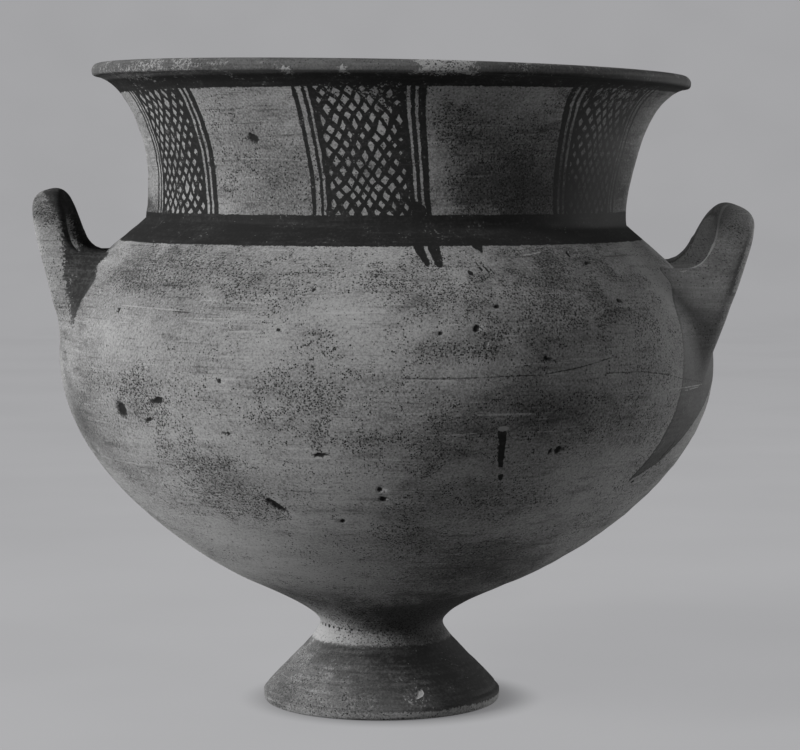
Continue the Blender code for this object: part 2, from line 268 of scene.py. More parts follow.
# Soft-edged areas: how thickly grit gathers there, how the clay's tone shifts, how far the paint is worn
# The tone column is partly the clay's own uneven tone and partly painted shade and painted light: darker on
# the neck, on the shaded right of belly, flare and stem and along the left edge, lighter on the stem's lit
# left.
Patch = namedtuple("Patch", "azimuth height half_width half_height turn grit tone worn", defaults=(0.0,))
PATCHES = (
    Patch(-47.0, 0.1790, 0.036, 0.013, 0, 0.75, -0.22),
    Patch(-20.0, 0.1760, 0.026, 0.010, -10, 0.35, -0.06),
    Patch(-45.0, 0.1370, 0.010, 0.013, 0, 0.90, -0.04),
    Patch(-38.0, 0.1160, 0.013, 0.012, -20, 0.65, 0.00),
    Patch(-31.0, 0.0970, 0.015, 0.011, -25, 0.85, -0.08),
    Patch(-14.0, 0.1360, 0.017, 0.013, 0, 0.65, -0.08),
    Patch(-13.0, 0.1580, 0.007, 0.004, 0, 0.60, -0.04),
    Patch(-46.0, 0.1600, 0.036, 0.010, 0, -0.90, -0.08),
    Patch(-62.0, 0.1700, 0.016, 0.014, 0, 0.10, -0.16),
    Patch(-6.0, 0.1660, 0.013, 0.006, 0, -0.60, 0.18),
    Patch(2.0, 0.1500, 0.022, 0.009, 0, 0.00, 0.12),
    Patch(5.0, 0.1760, 0.020, 0.008, 0, 0.65, -0.04),
    Patch(26.0, 0.1670, 0.022, 0.012, 0, 0.60, -0.14),
    Patch(11.0, 0.1540, 0.012, 0.004, 0, 0.75, -0.22),
    Patch(26.0, 0.1290, 0.024, 0.007, 0, 0.30, -0.26),
    Patch(4.0, 0.1180, 0.026, 0.007, 0, 0.45, -0.14),
    Patch(12.0, 0.0900, 0.030, 0.012, 0, 0.35, -0.18),
    # Darker on the belly's right: painted shade.
    Patch(24.0, 0.1330, 0.042, 0.024, 0, 0.10, -0.26),
    Patch(-8.0, 0.1380, 0.030, 0.012, 0, 0.20, -0.10),
    # Lighter on the flare's left and darker on its right: painted light and painted shade.
    Patch(-26.0, 0.0660, 0.026, 0.010, 0, -0.30, 0.35),
    Patch(24.0, 0.0660, 0.024, 0.010, 0, 0.00, -0.45),
    # Darker on the neck's right above the band: painted shade.
    Patch(38.0, 0.2080, 0.050, 0.010, 0, 0.30, -0.30),
    Patch(50.0, 0.2450, 0.036, 0.0050, 0, 0.20, 0.00, 0.30),
    Patch(-4.0, 0.2450, 0.018, 0.0050, 0, 0.20, 0.00, 0.30),
    Patch(-8.0, 0.0740, 0.030, 0.008, 0, 0.30, -0.12),
    Patch(48.0, 0.1500, 0.024, 0.022, 0, 0.35, -0.06),
    # Darker on the neck's right: painted shade.
    Patch(23.0, 0.2240, 0.027, 0.026, 0, 0.35, -0.44),
    Patch(12.5, 0.2360, 0.006, 0.008, 0, 0.80, 0.00),
    Patch(-28.0, 0.2280, 0.024, 0.024, 0, 0.10, -0.38),
    # Darker along the left edge: painted shade over the lamp's glow.
    Patch(-96.0, 0.1500, 0.036, 0.050, 0, 0.10, -0.30),
    # Darker on the neck's right: painted shade.
    Patch(62.0, 0.2240, 0.034, 0.030, 0, 0.20, -0.50),
    Patch(36.0, 0.1830, 0.030, 0.008, -6, 0.60, -0.36),
    Patch(35.0, 0.1700, 0.022, 0.010, 0, 0.40, -0.05),
    # Lighter beside the right handle's root: painted light in the handle's shadow.
    Patch(63.0, 0.1760, 0.010, 0.014, 0, 0.00, 0.45),
    Patch(-34.0, 0.2200, 0.018, 0.014, 0, 0.25, 0.00),
    Patch(-21.0, 0.1540, 0.015, 0.007, 0, -0.70, 0.20),
    Patch(-28.0, 0.1430, 0.010, 0.006, 0, -0.60, 0.08),
    Patch(-55.0, 0.1470, 0.030, 0.005, 0, -0.50, -0.06),
    Patch(-80.0, 0.2030, 0.020, 0.005, 0, 0.95, -0.25),
    Patch(-80.0, 0.2260, 0.022, 0.024, 0, -0.30, -0.34),
    Patch(-70.0, 0.1500, 0.012, 0.024, 0, -0.30, -0.12),
    Patch(-64.0, 0.1160, 0.022, 0.020, 0, 0.00, -0.34),
    # Darker on the flare's right: painted shade.
    Patch(38.0, 0.0500, 0.030, 0.014, 0, 0.30, -0.30),
    Patch(150.0, 0.1500, 0.060, 0.030, 10, 0.60, -0.20),
    Patch(-140.0, 0.1100, 0.050, 0.022, -15, 0.70, -0.15),
    Patch(-160.0, 0.1700, 0.040, 0.014, 0, 0.30, 0.12),
    # Lighter on the stem's left and much darker on its right: painted light and painted shade.
    Patch(-15.0, 0.0330, 0.030, 0.004, 0, 0.20, 0.30),
    Patch(45.0, 0.0330, 0.030, 0.009, 0, 0.50, -1.10),
    Patch(0.0, 0.0440, 0.060, 0.006, 0, 0.50, -0.25),
    Patch(10.5, 0.2565, 0.0125, 0.0042, 0, 0.50, 0.10, 1.00),
    Patch(-18.5, 0.2548, 0.0016, 0.0014, 0, 0.00, 0.20, 0.90),
    Patch(-8.4, 0.2545, 0.0020, 0.0016, 0, 0.00, 0.20, 0.90),
    Patch(-50.0, 0.2560, 0.045, 0.0040, 0, 0.30, 0.00, 0.36),
    Patch(40.0, 0.2575, 0.035, 0.0030, 0, 0.30, 0.00, 0.35),
    Patch(80.0, 0.2570, 0.030, 0.0040, 0, 0.30, 0.10, 0.62),
    Patch(165.0, 0.2565, 0.020, 0.0035, 0, 0.30, 0.00, 0.80),
    Patch(-72.0, 0.0120, 0.024, 0.012, 0, 0.20, -0.05, 0.40),
    Patch(-30.0, 0.0080, 0.026, 0.005, 0, 0.20, 0.00, 0.25),
    Patch(12.0, 0.0110, 0.008, 0.004, 0, 0.20, 0.05, 0.24),
    Patch(170.0, 0.0120, 0.026, 0.006, 0, 0.20, 0.00, 0.45),
)

# --- The painted pattern: heights in metres, azimuths in degrees ---

# Painted outlines beside each handle, drawn at the front and repeated at the back, as (height, value).
# tail_outer and tail_inner are degrees round from the handle's own side, arm_edge is metres away from
# the middle of the roll, and inner_side tells whether the side towards the finger gap is painted too.
HandlePaint = namedtuple(
    "HandlePaint", "tail_outer tail_inner tail_from tail_to arm_edge arm_from inner_side"
)
RIGHT_PAINT = HandlePaint(
    tail_outer=(
        (0.099, 38.0), (0.1085, 35.0), (0.126, 32.3), (0.156, 29.8),
        (0.166, 28.4), (0.174, 25.2), (0.182, 16.0), (0.190, -40.0),
    ),
    tail_inner=((0.099, 37.0), (0.105, 29.5), (0.1152, 22.5), (0.1265, 14.9), (0.134, 10.0), (0.142, -5.0)),
    tail_from=0.098,
    tail_to=0.170,
    arm_edge=((0.150, 0.0060), (0.165, 0.0045), (0.180, 0.0052), (0.200, 0.0068)),
    arm_from=0.147,
    inner_side=False,
)
LEFT_PAINT = HandlePaint(
    tail_outer=(
        (0.101, 20.0), (0.118, 24.2), (0.128, 22.5), (0.1386, 19.7),
        (0.151, 20.4), (0.175, 21.6), (0.184, 15.0), (0.192, -40.0),
    ),
    tail_inner=((0.101, 19.6), (0.105, 19.0), (0.115, 18.0), (0.127, 17.0), (0.1386, 16.3)),
    tail_from=0.101,
    tail_to=0.139,
    arm_edge=(
        (0.151, 0.0004), (0.170, -0.0012), (0.180, -0.0020), (0.189, -0.0037),
        (0.199, -0.0040), (0.206, -0.0016), (0.212, 0.0040),
    ),
    arm_from=0.151,
    # The left handle's side towards the finger gap is painted dark: partly real paint, partly painted shade
    # where the near leg shades it.
    inner_side=True,
)
BEYOND_PAINT = -0.020
# Places this far outside the turned body belong to the roll, where the body's outline doesn't hold
ROLL_FROM = 0.0016

# The bands on shoulder, lip and foot. Those on shoulder and lip end at a radius, so they stay off the handles
BAND_LOW, BAND_HIGH = 0.1898, 0.2012
LIP_BAND_FROM = 0.2487
BANDS_REACH = 0.1235
FOOT_PAINT = (0.0034, 0.0262)
STEM_DOTS_EVERY = 6.5
STEM_DOTS_HEIGHT = 0.0322

# Middles of the neck's panels, and whether each is drawn the same way round or mirrored. They reach to
# both sides, lean by degrees for each metre up, and run a little way under the bands above and below
PANELS = ((-125.0, 1.0), (-56.2, 1.0), (-5.4, 1.0), (52.0, -1.0), (126.0, 1.0), (178.0, -1.0))
PANEL_REACH = 24.0
PANEL_LEAN = 44.0
PANEL_OVERLAP = 0.0006
# A panel's upright lines as (degrees from its middle, half width in degrees), and the lattice between them
PANEL_LINES = ((-12.45, 0.48), (-10.50, 0.38), (-8.95, 0.62), (9.40, 0.55), (11.05, 0.45), (12.80, 0.70))
LATTICE_FROM, LATTICE_TO = -9.2, 9.5
LATTICE_ACROSS, LATTICE_UP = 2.65, 0.0064
# Millimetres to a degree round the neck
DEGREE_ON_NECK = 1.75

# Heights over which the clay's shade or the paint's thickness changes, as (where it starts, where it ends)
PALE_STEM_TOP = (0.0335, 0.0300)
PALE_STEM_FOOT = (0.0240, 0.0280)
DARK_FLARE = (0.0620, 0.0360)
RIGHT_ARM = (0.1400, 0.1560)
RIGHT_ARM_TOP = (0.1780, 0.1980)
LEFT_ARM = (0.1420, 0.1540)
LIP_TOP = (0.2528, 0.2542)

# How far inside an outline a place is taken to lie at first, before any outline is looked at
FAR_OUTSIDE = -9.0

# The studio: the place on the right handle that its own lamp points at, how high the paper's wall goes,
# and how far the paper lies under the foot
HANDLE_LIT = (0.150, 0.0, 0.212)
WALL_TOP = 3.0
PAPER_DROP = 0.0002


# --- Shape -------------------------------------------------------------------


def smooth(low, high, value):
    share = np.clip((value - low) / (high - low), 0.0, 1.0)
    return share * share * (3.0 - 2.0 * share)


def bezier(points, count, crowd=1.0):
    """count + 1 points on the cubic Bezier curve; crowd over 1 packs them near its start."""
    if crowd == 1.0:
        curve = interpolate_bezier(*[Vector((r, z, 0.0)) for r, z in points], count + 1)
        return [(p.x, p.y) for p in curve]
    (a, b, c, d) = [np.array(p) for p in points]
    curve = []
    for i in range(count + 1):
        t = (i / count) ** crowd
        s = 1.0 - t
        curve.append(tuple(s**3 * a + 3.0 * s * s * t * b + 3.0 * s * t * t * c + t**3 * d))
    return curve


def outer_side(steps, crowd=1.0):
    """(r, z) from the foot's edge up to the underside of the lip. crowd packs the foot's own stretch."""
    places = (
        (FOOT_RADIUS, FOOT_EDGE_HEIGHT),
        (STEM_RADIUS, STEM_HEIGHT),
        BOWL_START,
        (BELLY_RADIUS, BELLY_HEIGHT),
        (NECK_RADIUS, NECK_HEIGHT),
        LIP_START,
    )
    bends = (FOOT_BEND, FLARE_BEND, BOWL_BEND, SHOULDER_BEND, NECK_BEND)
    side = [places[0]]
    for start, bend, end, count in zip(places, bends, places[1:], steps):
        side += bezier((start, *bend, end), count, crowd)[1:]
        crowd = 1.0
    return side


def offset_inward(side, depth):
    """The curve at a depth under an outer side that runs upward."""
    inner = []
    last = len(side) - 1
    for i, (r, z) in enumerate(side):
        before, after = side[max(i - 1, 0)], side[min(i + 1, last)]
        dr, dz = after[0] - before[0], after[1] - before[1]
        length = math.hypot(dr, dz)
        inner.append((r - depth * dz / length, z + depth * dr / length))
    return inner


def rounded(points, steps):
    """A smooth curve through the points, with the given number of steps between two of them."""
    corners = [np.array(p) for p in points]
    corners = [2 * corners[0] - corners[1]] + corners + [2 * corners[-1] - corners[-2]]
    curve = []
    for a, b, c, d in zip(corners, corners[1:], corners[2:], corners[3:]):
        for i in range(steps):
            t = i / steps
            bend = (2 * a - 5 * b + 4 * c - d) * t * t + (3 * b - a - 3 * c + d) * t**3
            curve.append(tuple(0.5 * (2 * b + (c - a) * t + bend)))
    return curve + [tuple(corners[-2])]


def lean(points):
    """Moves points of the true turned body to their places on the leaning one."""
    x, y, z = points.T
    angle = LEAN * smooth(LEAN_FROM, LEAN_TO, z)
    drift = BELLY_DRIFT * smooth(DRIFT_FROM, BELLY_HEIGHT, z)
    drift = drift + NECK_DRIFT * smooth(NECK_HEIGHT, NECK_DRIFT_TO, z)
    droop = RIM_DROOP * np.maximum(x / LIP_RADIUS, 0.0) ** 2 * smooth(NECK_HEIGHT, RIM_HEIGHT, z) ** 3
    return np.stack((FOOT_CENTRE_X + drift + x, y, z - x * np.sin(angle) - droop), axis=1)


def stand_true(points):
    """The reverse of lean, near enough for finding where a point lies on the turned body."""
    true = points.copy()
    for _ in range(3):
        true += points - lean(true)
    return true


def turning_marks(turn, height, depth):
    """How far the potter's fingers left the surface proud or low, round the turned body."""
    slow = 0.5 * np.sin(2 * turn + 31.0 * height) + 0.3 * np.sin(3 * turn - 47.0 * height + 1.7)
    ridges = 0.0
    for spacing, turns, start, share in RIDGES:
        ridges = ridges + share * np.sin(math.tau * height / spacing + turns * turn + start)
    return depth * (slow + ridges * (0.6 + 0.4 * np.sin(turn + 23.0 * height)))


def inner_marks(turn, height, depth):
    """The deeper spiral of throwing ridges inside the bowl."""
    return depth * np.sin(math.tau * height / THROWING_SPACING + turn) * (0.7 + 0.3 * np.sin(2 * turn + 1.0))


def revolve(section, counts, marks):
    """Turns a section, from axis to axis, into a closed body.

    counts holds each ring's corners: as many as in the ring before, half, twice, or 1 on the axis.
    """
    section = np.array(section)
    ahead = np.roll(section, -1, axis=0) - np.roll(section, 1, axis=0)
    length = np.maximum(np.hypot(*ahead.T), 1e-9)
    facing = np.stack((ahead[:, 1], -ahead[:, 0]), axis=1) / length[:, None]
    places, rings, used = [], [], 0
    for (r, z), (out_r, out_z), count, mark in zip(section, facing, counts, marks):
        turn = np.arange(count) * math.tau / count
        push = mark(turn, z) if mark and count > 1 else np.zeros(count)
        radius = r + push * out_r
        places.append(np.stack((radius * np.cos(turn), radius * np.sin(turn), z + push * out_z), axis=1))
        rings.append(range(used, used + count))
        used += count
    faces = []
    for low, high in zip(rings, rings[1:]):
        fine, coarse = max(len(low), len(high)), min(len(low), len(high))
        if len(low) == len(high):
            faces += [(low[i], low[(i + 1) % fine], high[(i + 1) % fine], high[i]) for i in range(fine)]
        elif coarse == 1:
            tip, ring = (low[0], high) if len(low) == 1 else (high[0], low)
            order = 1 if len(low) == 1 else -1
            faces += [(tip, ring[(i + 1) % fine], ring[i])[::order] for i in range(fine)]
        elif len(low) > len(high):
            for i in range(coarse):
                a, b, c = low[2 * i], low[2 * i + 1], low[(2 * i + 2) % fine]
                faces += [(a, b, high[i]), (b, c, high[(i + 1) % coarse], high[i])]
        else:
            for i in range(coarse):
                a, b, c = high[2 * i], high[2 * i + 1], high[(2 * i + 2) % fine]
                faces += [(low[i], b, a), (low[i], low[(i + 1) % coarse], c, b)]
    return lean(np.concatenate(places)), faces


def new_object(name, places, faces):
    data = bpy.data.meshes.new(name)
    data.from_pydata([tuple(p) for p in places], [], faces)
    mesh = bmesh.new()
    mesh.from_mesh(data)
    bmesh.ops.recalc_face_normals(mesh, faces=mesh.faces)
    mesh.to_mesh(data)
    mesh.free()
    thing = bpy.data.objects.new(name, data)
    bpy.context.scene.collection.objects.link(thing)
    return thing


def turned_body(shape):
    """The bowl, neck, lip and foot as one closed body."""
    quarter = [0.5 * math.pi * i / 14 for i in range(14)]
    hollow = [(RESTING_RADIUS * math.sin(turn), FOOT_HOLLOW_HEIGHT * math.cos(turn)) for turn in quarter]
    foot = [(RESTING_RADIUS, 0.0)] + [(FOOT_RADIUS + out, up) for out, up in FOOT_EDGE]
    outside = outer_side(SKIN_STEPS, SKIN_CROWDING)
    lip = rounded([LIP_START] + [(LIP_RADIUS + out, RIM_HEIGHT + up) for out, up in LIP_ROUND], 4)[1:]
    inner = offset_inward(outer_side(INSIDE_STEPS), WALL)
    inner = [p for p in inner if p[0] > FLOOR_EDGE[0] and p[1] < INNER_TOP]
    floor = bezier(((0.0, FLOOR_HEIGHT), *FLOOR_BEND, FLOOR_EDGE), 16)
    section = hollow + foot + outside + lip + inner[::-1] + floor[::-1]

    fine, plain = shape.corners, shape.corners // 2
    counts = [plain] * len(hollow) + [fine] * (len(foot) + len(outside) + len(lip))
    counts += [plain] * (len(inner) + len(floor))
    counts[0] = counts[-1] = 1

    def outside_marks(turn, height):
        fade = smooth(0.0, 0.004, height)
        groove = shape.foot_groove * math.exp(-(((height - GROOVE_HEIGHT) / GROOVE_HALF) ** 2))
        marks = turning_marks(turn, height, shape.turning_depth) * fade
        return marks - groove * (0.6 + 0.4 * np.sin(turn + 2.0))

    def inside_marks(turn, height):
        fade = smooth(FLOOR_HEIGHT, 0.058, height) * smooth(RIM_HEIGHT, INNER_TOP - 0.012, height)
        return inner_marks(turn, height, shape.throwing_depth) * fade

    marks = [None] * len(hollow) + [outside_marks] * (len(foot) + len(outside) + len(lip))
    marks += [inside_marks] * (len(inner) + len(floor))
    places, faces = revolve(section, counts, marks)
    return new_object("footed_bowl_surface", places, faces)


def wall_core():
    """A cutter that ends the handles inside the wall, so that they don't reach the hollow."""
    middle = offset_inward(outer_side(CORE_STEPS), 0.5 * WALL)
    middle = [p for p in middle if CORE_FROM < p[1] < NECK_HEIGHT]
    section = [(0.0, middle[0][1])] + middle + [(0.0, middle[-1][1])]
    places, faces = revolve(section, [1] + [96] * len(middle) + [1], [None] * len(section))
    return new_object("wall_core", places, faces)


def handle_centre(handle, share):
    """Middle of the roll at a share of the way from the crown down a leg, as (x, across, z)."""
    x, crown_height = handle.crown
    leg_height = crown_height - handle.arch_height - handle.end_height
    if share < 1.0:
        turn = 0.5 * math.pi * share
        drop = handle.arch_height * (1.0 - math.cos(turn) ** (2.0 / ARCH_POWER))
        across = handle.half_span * math.sin(turn) ** (2.0 / ARCH_POWER)
    else:
        drop = handle.arch_height + leg_height * (share - 1.0)
        across = handle.half_span + LEG_SPLAY * (share - 1.0) ** 2
    height = crown_height - drop
    tuck = max(0.0, 1.0 - (height - handle.end_height) / TUCK_HEIGHT)
    return Vector((x - handle.slope * drop - TUCK * tuck * tuck, across, height))


def inward_reach(handle, centre):
    """How far the roll or its web reaches from its middle towards the vessel."""
    top = handle.web_height + handle.web_radius
    tilt = math.atan(handle.slope)
    tangent_height = top - handle.web_radius * math.sin(tilt)
    plain = handle.half_out / math.cos(tilt)
    if centre.z >= tangent_height:
        return handle.half_out
    if centre.z < handle.web_height:
        return WEB_REACH
    inner_x = handle.crown[0] - handle.slope * (handle.crown[1] - tangent_height) - plain
    hollow_x = inner_x - handle.web_radius * math.cos(tilt)
    curve = hollow_x + math.sqrt(max(handle.web_radius**2 - (centre.z - top) ** 2, 0.0))
    return max(handle.half_out, centre.x - curve)


def handle_frame(handle, share):
    """The roll's middle and its two cross directions: away from the vessel, and out of the arch."""
    centre = handle_centre(handle, share)
    step = 0.01
    ahead = Vector((0.0, 1.0, 0.0))
    if share > step:
        ahead = handle_centre(handle, min(share + step, 2.0)) - handle_centre(handle, share - step)
    tilt = math.atan(handle.slope) * (1.0 - float(smooth(0.3, 0.7, share)))
    outward = Vector((math.cos(tilt), 0.0, -math.sin(tilt)))
    return centre, outward, ahead.cross(outward).normalized()


def handle_section(handle, position, sides):
    """One ring of the roll. position runs from -2 at one leg's end to 2 at the other's."""
    share = abs(position)
    half = 1.0 if position >= 0.0 else -1.0
    centre, outward, in_arch = handle_frame(handle, share)
    inward = inward_reach(handle, centre)
    half_across = handle.half_across + ROOT_FLARE * float(smooth(0.6, 1.2, share))
    ring = []
    for i in range(sides):
        turn = math.tau * (i + 0.5) / sides
        c, s = math.cos(turn), math.sin(turn)
        reach = math.copysign(abs(c) ** (2.0 / SECTION_POWER), c)
        rise = math.copysign(abs(s) ** (2.0 / SECTION_POWER), s)
        middle = 0.5 * (handle.half_out - inward)
        point = centre + outward * (middle + 0.5 * (handle.half_out + inward) * reach)
        point += in_arch * half_across * rise
        ring.append((handle.side * point.x, half * point.y, point.z))
    return ring


def handle_roll(handle, shape):
    """The fine roll, uneven as fingers left it."""
    sides = shape.roll_corners
    half = [2.0 * (i / shape.roll_rings) ** 0.85 for i in range(1, shape.roll_rings + 1)]
    positions = [-s for s in reversed(half)] + [0.0] + half
    places = []
    for position in positions:
        places += handle_section(handle, position, sides)
    faces = []
    for k in range(len(positions) - 1):
        for i in range(sides):
            j = (i + 1) % sides
            faces.append((k * sides + i, k * sides + j, (k + 1) * sides + j, (k + 1) * sides + i))
    faces.append(tuple(range(sides)))
    faces.append(tuple(range((len(positions) - 1) * sides, len(positions) * sides)))
    roll = new_object(handle.name + "_roll", np.array(places), faces)
    for vertex in roll.data.vertices:
        lump = noise.noise(vertex.co * 55.0) + 0.5 * noise.noise(vertex.co * 130.0)
        vertex.co += vertex.normal * shape.finger_depth * lump
    return roll


def joined(thing, other, operation):
    """Cuts or joins thing by other, and keeps the result as thing's own mesh."""
    modifier = thing.modifiers.new(operation.lower(), "BOOLEAN")
    modifier.operation = operation
    modifier.object = other
    modifier.solver = "EXACT"
    graph = bpy.context.evaluated_depsgraph_get()
    data = bpy.data.meshes.new_from_object(thing.evaluated_get(graph))
    thing.modifiers.clear()
    thing.data = data


def surface_tree(thing):
    mesh = bmesh.new()
    mesh.from_mesh(thing.data)
    tree = BVHTree.FromBMesh(mesh)
    mesh.free()
    return tree


def distance_from(tree, place):
    """(signed distance, direction away) of a place from a closed surface."""
    found, facing, _, distance = tree.find_nearest(place)
    away = place - found
    side = 1.0 if away.dot(facing) >= 0.0 else -1.0
    return side * distance, away * (side / distance) if distance > 1e-7 else facing


def smear_joint(mesh, body_tree, roll_tree, side, reach):
    """Fills the sharp angle where a handle meets the bowl, as wet clay smeared over the joint."""
    smeared = []
    for vertex in mesh.verts:
        if side * vertex.co.x < JOINTS_BEYOND:
            continue
        if abs(distance_from(roll_tree, vertex.co)[0]) > reach:
            continue
        blend = 0.0
        for _ in range(3):
            from_body, off_body = distance_from(body_tree, vertex.co)
            from_roll, off_roll = distance_from(roll_tree, vertex.co)
            blend = max(reach - abs(from_body - from_roll), 0.0) / reach
            if blend == 0.0:
                break
            share = min(max(0.5 + 0.5 * (from_roll - from_body) / reach, 0.0), 1.0)
            slope = off_body * share + off_roll * (1.0 - share)
            level = min(from_body, from_roll) - blend * blend * reach / 4.0
            vertex.co -= slope * (level / max(slope.length_squared, 0.3))
        if blend > 0.1:
            smeared.append(vertex)
    every_way = {"use_axis_x": True, "use_axis_y": True, "use_axis_z": True}
    for _ in range(5):
        bmesh.ops.smooth_vert(mesh, verts=smeared, factor=0.4, **every_way)


def places_of(mesh):
    return np.array([tuple(v.co) for v in mesh.verts])


def turned_places(mesh):
    """Azimuth in degrees, radius and height on the true turned body, for every vertex."""
    true = stand_true(places_of(mesh))
    azimuth = np.degrees(np.arctan2(true[:, 0], -true[:, 1]))
    return azimuth, np.hypot(true[:, 0], true[:, 1]), true[:, 2]


def marked_places(mesh):
    """Azimuth in degrees, distance out and height of every vertex as the marks on the skin are placed."""
    places = places_of(mesh)
    across = places[:, 0] - AXIS_X
    azimuth = np.degrees(np.arctan2(across, -places[:, 1]))
    return azimuth, np.hypot(across, places[:, 1]), places[:, 2]


def inner_skin(mesh):
    """Which vertices belong to the inside of the bowl."""
    _, radius, height = turned_places(mesh)
    return radius < np.interp(height, *outside_radius(0.5 * WALL))


def line_inside(bowl):
    """Gives the inside of the bowl and the hollow of the foot the second material."""
    mesh = bmesh.new()
    mesh.from_mesh(bowl.data)
    _, radius, height = turned_places(mesh)
    hollow = (radius / RESTING_RADIUS) ** 2 + (height / FOOT_HOLLOW_HEIGHT) ** 2 < 1.01
    plain = inner_skin(mesh) | hollow
    for face in mesh.faces:
        face.material_index = int(all(plain[v.index] for v in face.verts))
    mesh.to_mesh(bowl.data)
    mesh.free()


def oval_distance(mark, azimuth, radius, height):
    """How far places are from the middle of an oval mark, where 1 is its outline."""
    across = np.radians((azimuth - mark.azimuth + 180.0) % 360.0 - 180.0) * radius
    up = height - mark.height
    c, s = math.cos(math.radians(mark.turn)), math.sin(math.radians(mark.turn))
    along, over = across * c + up * s, up * c - across * s
    return np.hypot(along / mark.half_width, over / mark.half_height)


def stroke_inside(stroke, azimuth, radius, height):
    """How far places lie inside a tapering brush stroke, in metres."""
    across = np.radians(azimuth - stroke.azimuth) * radius
    up = height - stroke.height
    end = (np.radians(stroke.to_azimuth - stroke.azimuth) * radius, stroke.to_height - stroke.height)
    share = np.clip((across * end[0] + up * end[1]) / (end[0] ** 2 + end[1] ** 2), 0.0, 1.0)
    half_width = stroke.half_width + (stroke.to_half_width - stroke.half_width) * share
    return half_width - np.hypot(across - end[0] * share, up - end[1] * share)


def runs_inside(runs, azimuth, radius, height):
    """How far places lie inside the nearest of several hairlines, in millimetres."""
    inside = np.full(len(azimuth), FAR_OUTSIDE)
    for run in runs:
        for start, end in zip(run, run[1:]):
            hairline = Stroke(*start, HAIRLINE, *end, HAIRLINE)
            inside = np.maximum(inside, 1000.0 * stroke_inside(hairline, azimuth, radius, height))
    return inside


def off_highlit_edge(mesh):
    """How far every vertex is from the handle's pale edge line, worn and painted highlight, in millimetres.
    """
    places = places_of(mesh)
    nearest = np.full(len(places), np.inf)
    for start, end in zip(WORN_AND_HIGHLIT_EDGE, WORN_AND_HIGHLIT_EDGE[1:]):
        start, along = np.array(start), np.subtract(end, start)
        share = np.clip((places - start) @ along / (along @ along), 0.0, 1.0)
        off = np.linalg.norm(places - start - share[:, None] * along, axis=1)
        nearest = np.minimum(nearest, 1000.0 * off)
    return nearest


def refine_near_marks(mesh):
    """Splits the outer skin finely round every chip and brush stroke, so that their edges are crisp."""
    azimuth, radius, height = marked_places(mesh)
    places = [(c.azimuth, c.height, max(c.half_width, c.half_height)) for c in CHIPS]
    places += [(s.azimuth, s.height, s.half_width) for s in STROKES]
    places += [(s.to_azimuth, s.to_height, s.half_width) for s in STROKES]
    near = np.zeros(len(azimuth), bool)
    for mark_azimuth, mark_height, reach in places:
        across = np.radians(azimuth - mark_azimuth) * radius
        near |= np.hypot(across, height - mark_height) < reach + FINE_ROUND
    for runs in (CRACKS, SCRATCHES):
        near |= runs_inside(runs, azimuth, radius, height) > -FINE_BY_LINE
    near |= off_highlit_edge(mesh) < FINE_BY_EDGE
    near &= ~inner_skin(mesh)
    for vertex in mesh.verts:
        vertex.tag = bool(near[vertex.index])
    edges = [e for e in mesh.edges if e.verts[0].tag and e.verts[1].tag]
    bmesh.ops.subdivide_edges(mesh, edges=edges, cuts=4, use_grid_fill=True)
    bmesh.ops.triangulate(mesh, faces=[f for f in mesh.faces if len(f.verts) > 4])
    mesh.normal_update()
    mesh.verts.index_update()


def cut_chips(mesh, shape):
    """Presses the chips into the outer skin. Gives each vertex's chip depth, below zero for pale ones."""
    azimuth, radius, height = marked_places(mesh)
    outer = ~inner_skin(mesh)
    depth, push = np.zeros((2, len(azimuth)))
    ragged = np.array([noise.noise(v.co * 900.0) for v in mesh.verts])
    for chip in CHIPS:
        distance = oval_distance(chip, azimuth, radius, height) + 0.35 * ragged
        share = smooth(1.15, 0.55, distance) * outer
        depth += share * (-1.0 if chip.pale else 1.0)
        push = np.maximum(push, share * chip.depth * shape.chip_depth)
    for vertex, amount in zip(mesh.verts, push):
        vertex.co -= vertex.normal * amount
    return depth


def skin_marks(mesh):
    """How far vertices lie inside strokes and hairlines, in millimetres, and what their patches add up to."""
    azimuth, radius, height = marked_places(mesh)
    inside = np.full(len(azimuth), FAR_OUTSIDE)
    for stroke in STROKES:
        inside = np.maximum(inside, 1000.0 * stroke_inside(stroke, azimuth, radius, height))
    grit, tone, worn = np.zeros((3, len(azimuth)))
    ragged = np.array([noise.noise(v.co * 95.0) + 0.7 * noise.noise(v.co * 260.0) for v in mesh.verts])
    for patch in PATCHES:
        distance = oval_distance(patch, azimuth, radius, height)
        share = smooth(1.6, 0.4, distance + 0.8 * ragged)
        grit += share * patch.grit
        # The patches' tones add the clay's own tone together with painted shade and painted light.
        tone += smooth(2.0, 0.1, distance + 0.2 * ragged) * patch.tone
        worn = np.maximum(worn, share * patch.worn)
    crack, scratch = (runs_inside(runs, azimuth, radius, height) for runs in (CRACKS, SCRATCHES))
    # The handle's pale edge line joins the scratches: partly worn, partly a painted highlight.
    scratch = np.maximum(scratch, HIGHLIT_EDGE_WIDTH - off_highlit_edge(mesh))
    marks = {"stroke": inside, "crack": crack, "scratch": scratch}
    return marks | {"grit_drift": grit, "tone_shift": tone, "worn": worn}


def outside_radius(depth=0.0):
    """Heights and radii of the outer side above the stem, for reading one from the other."""
    side = [p for p in offset_inward(outer_side(READING_STEPS), depth) if p[1] > STEM_HEIGHT]
    heights = np.maximum.accumulate([p[1] for p in side])
    return heights, np.array([p[0] for p in side])


def edge_of(outline, height):
    """The value at a height of an outline given as (height, value) points, lowest first."""
    heights, values = zip(*outline)
    return np.interp(height, heights, values)


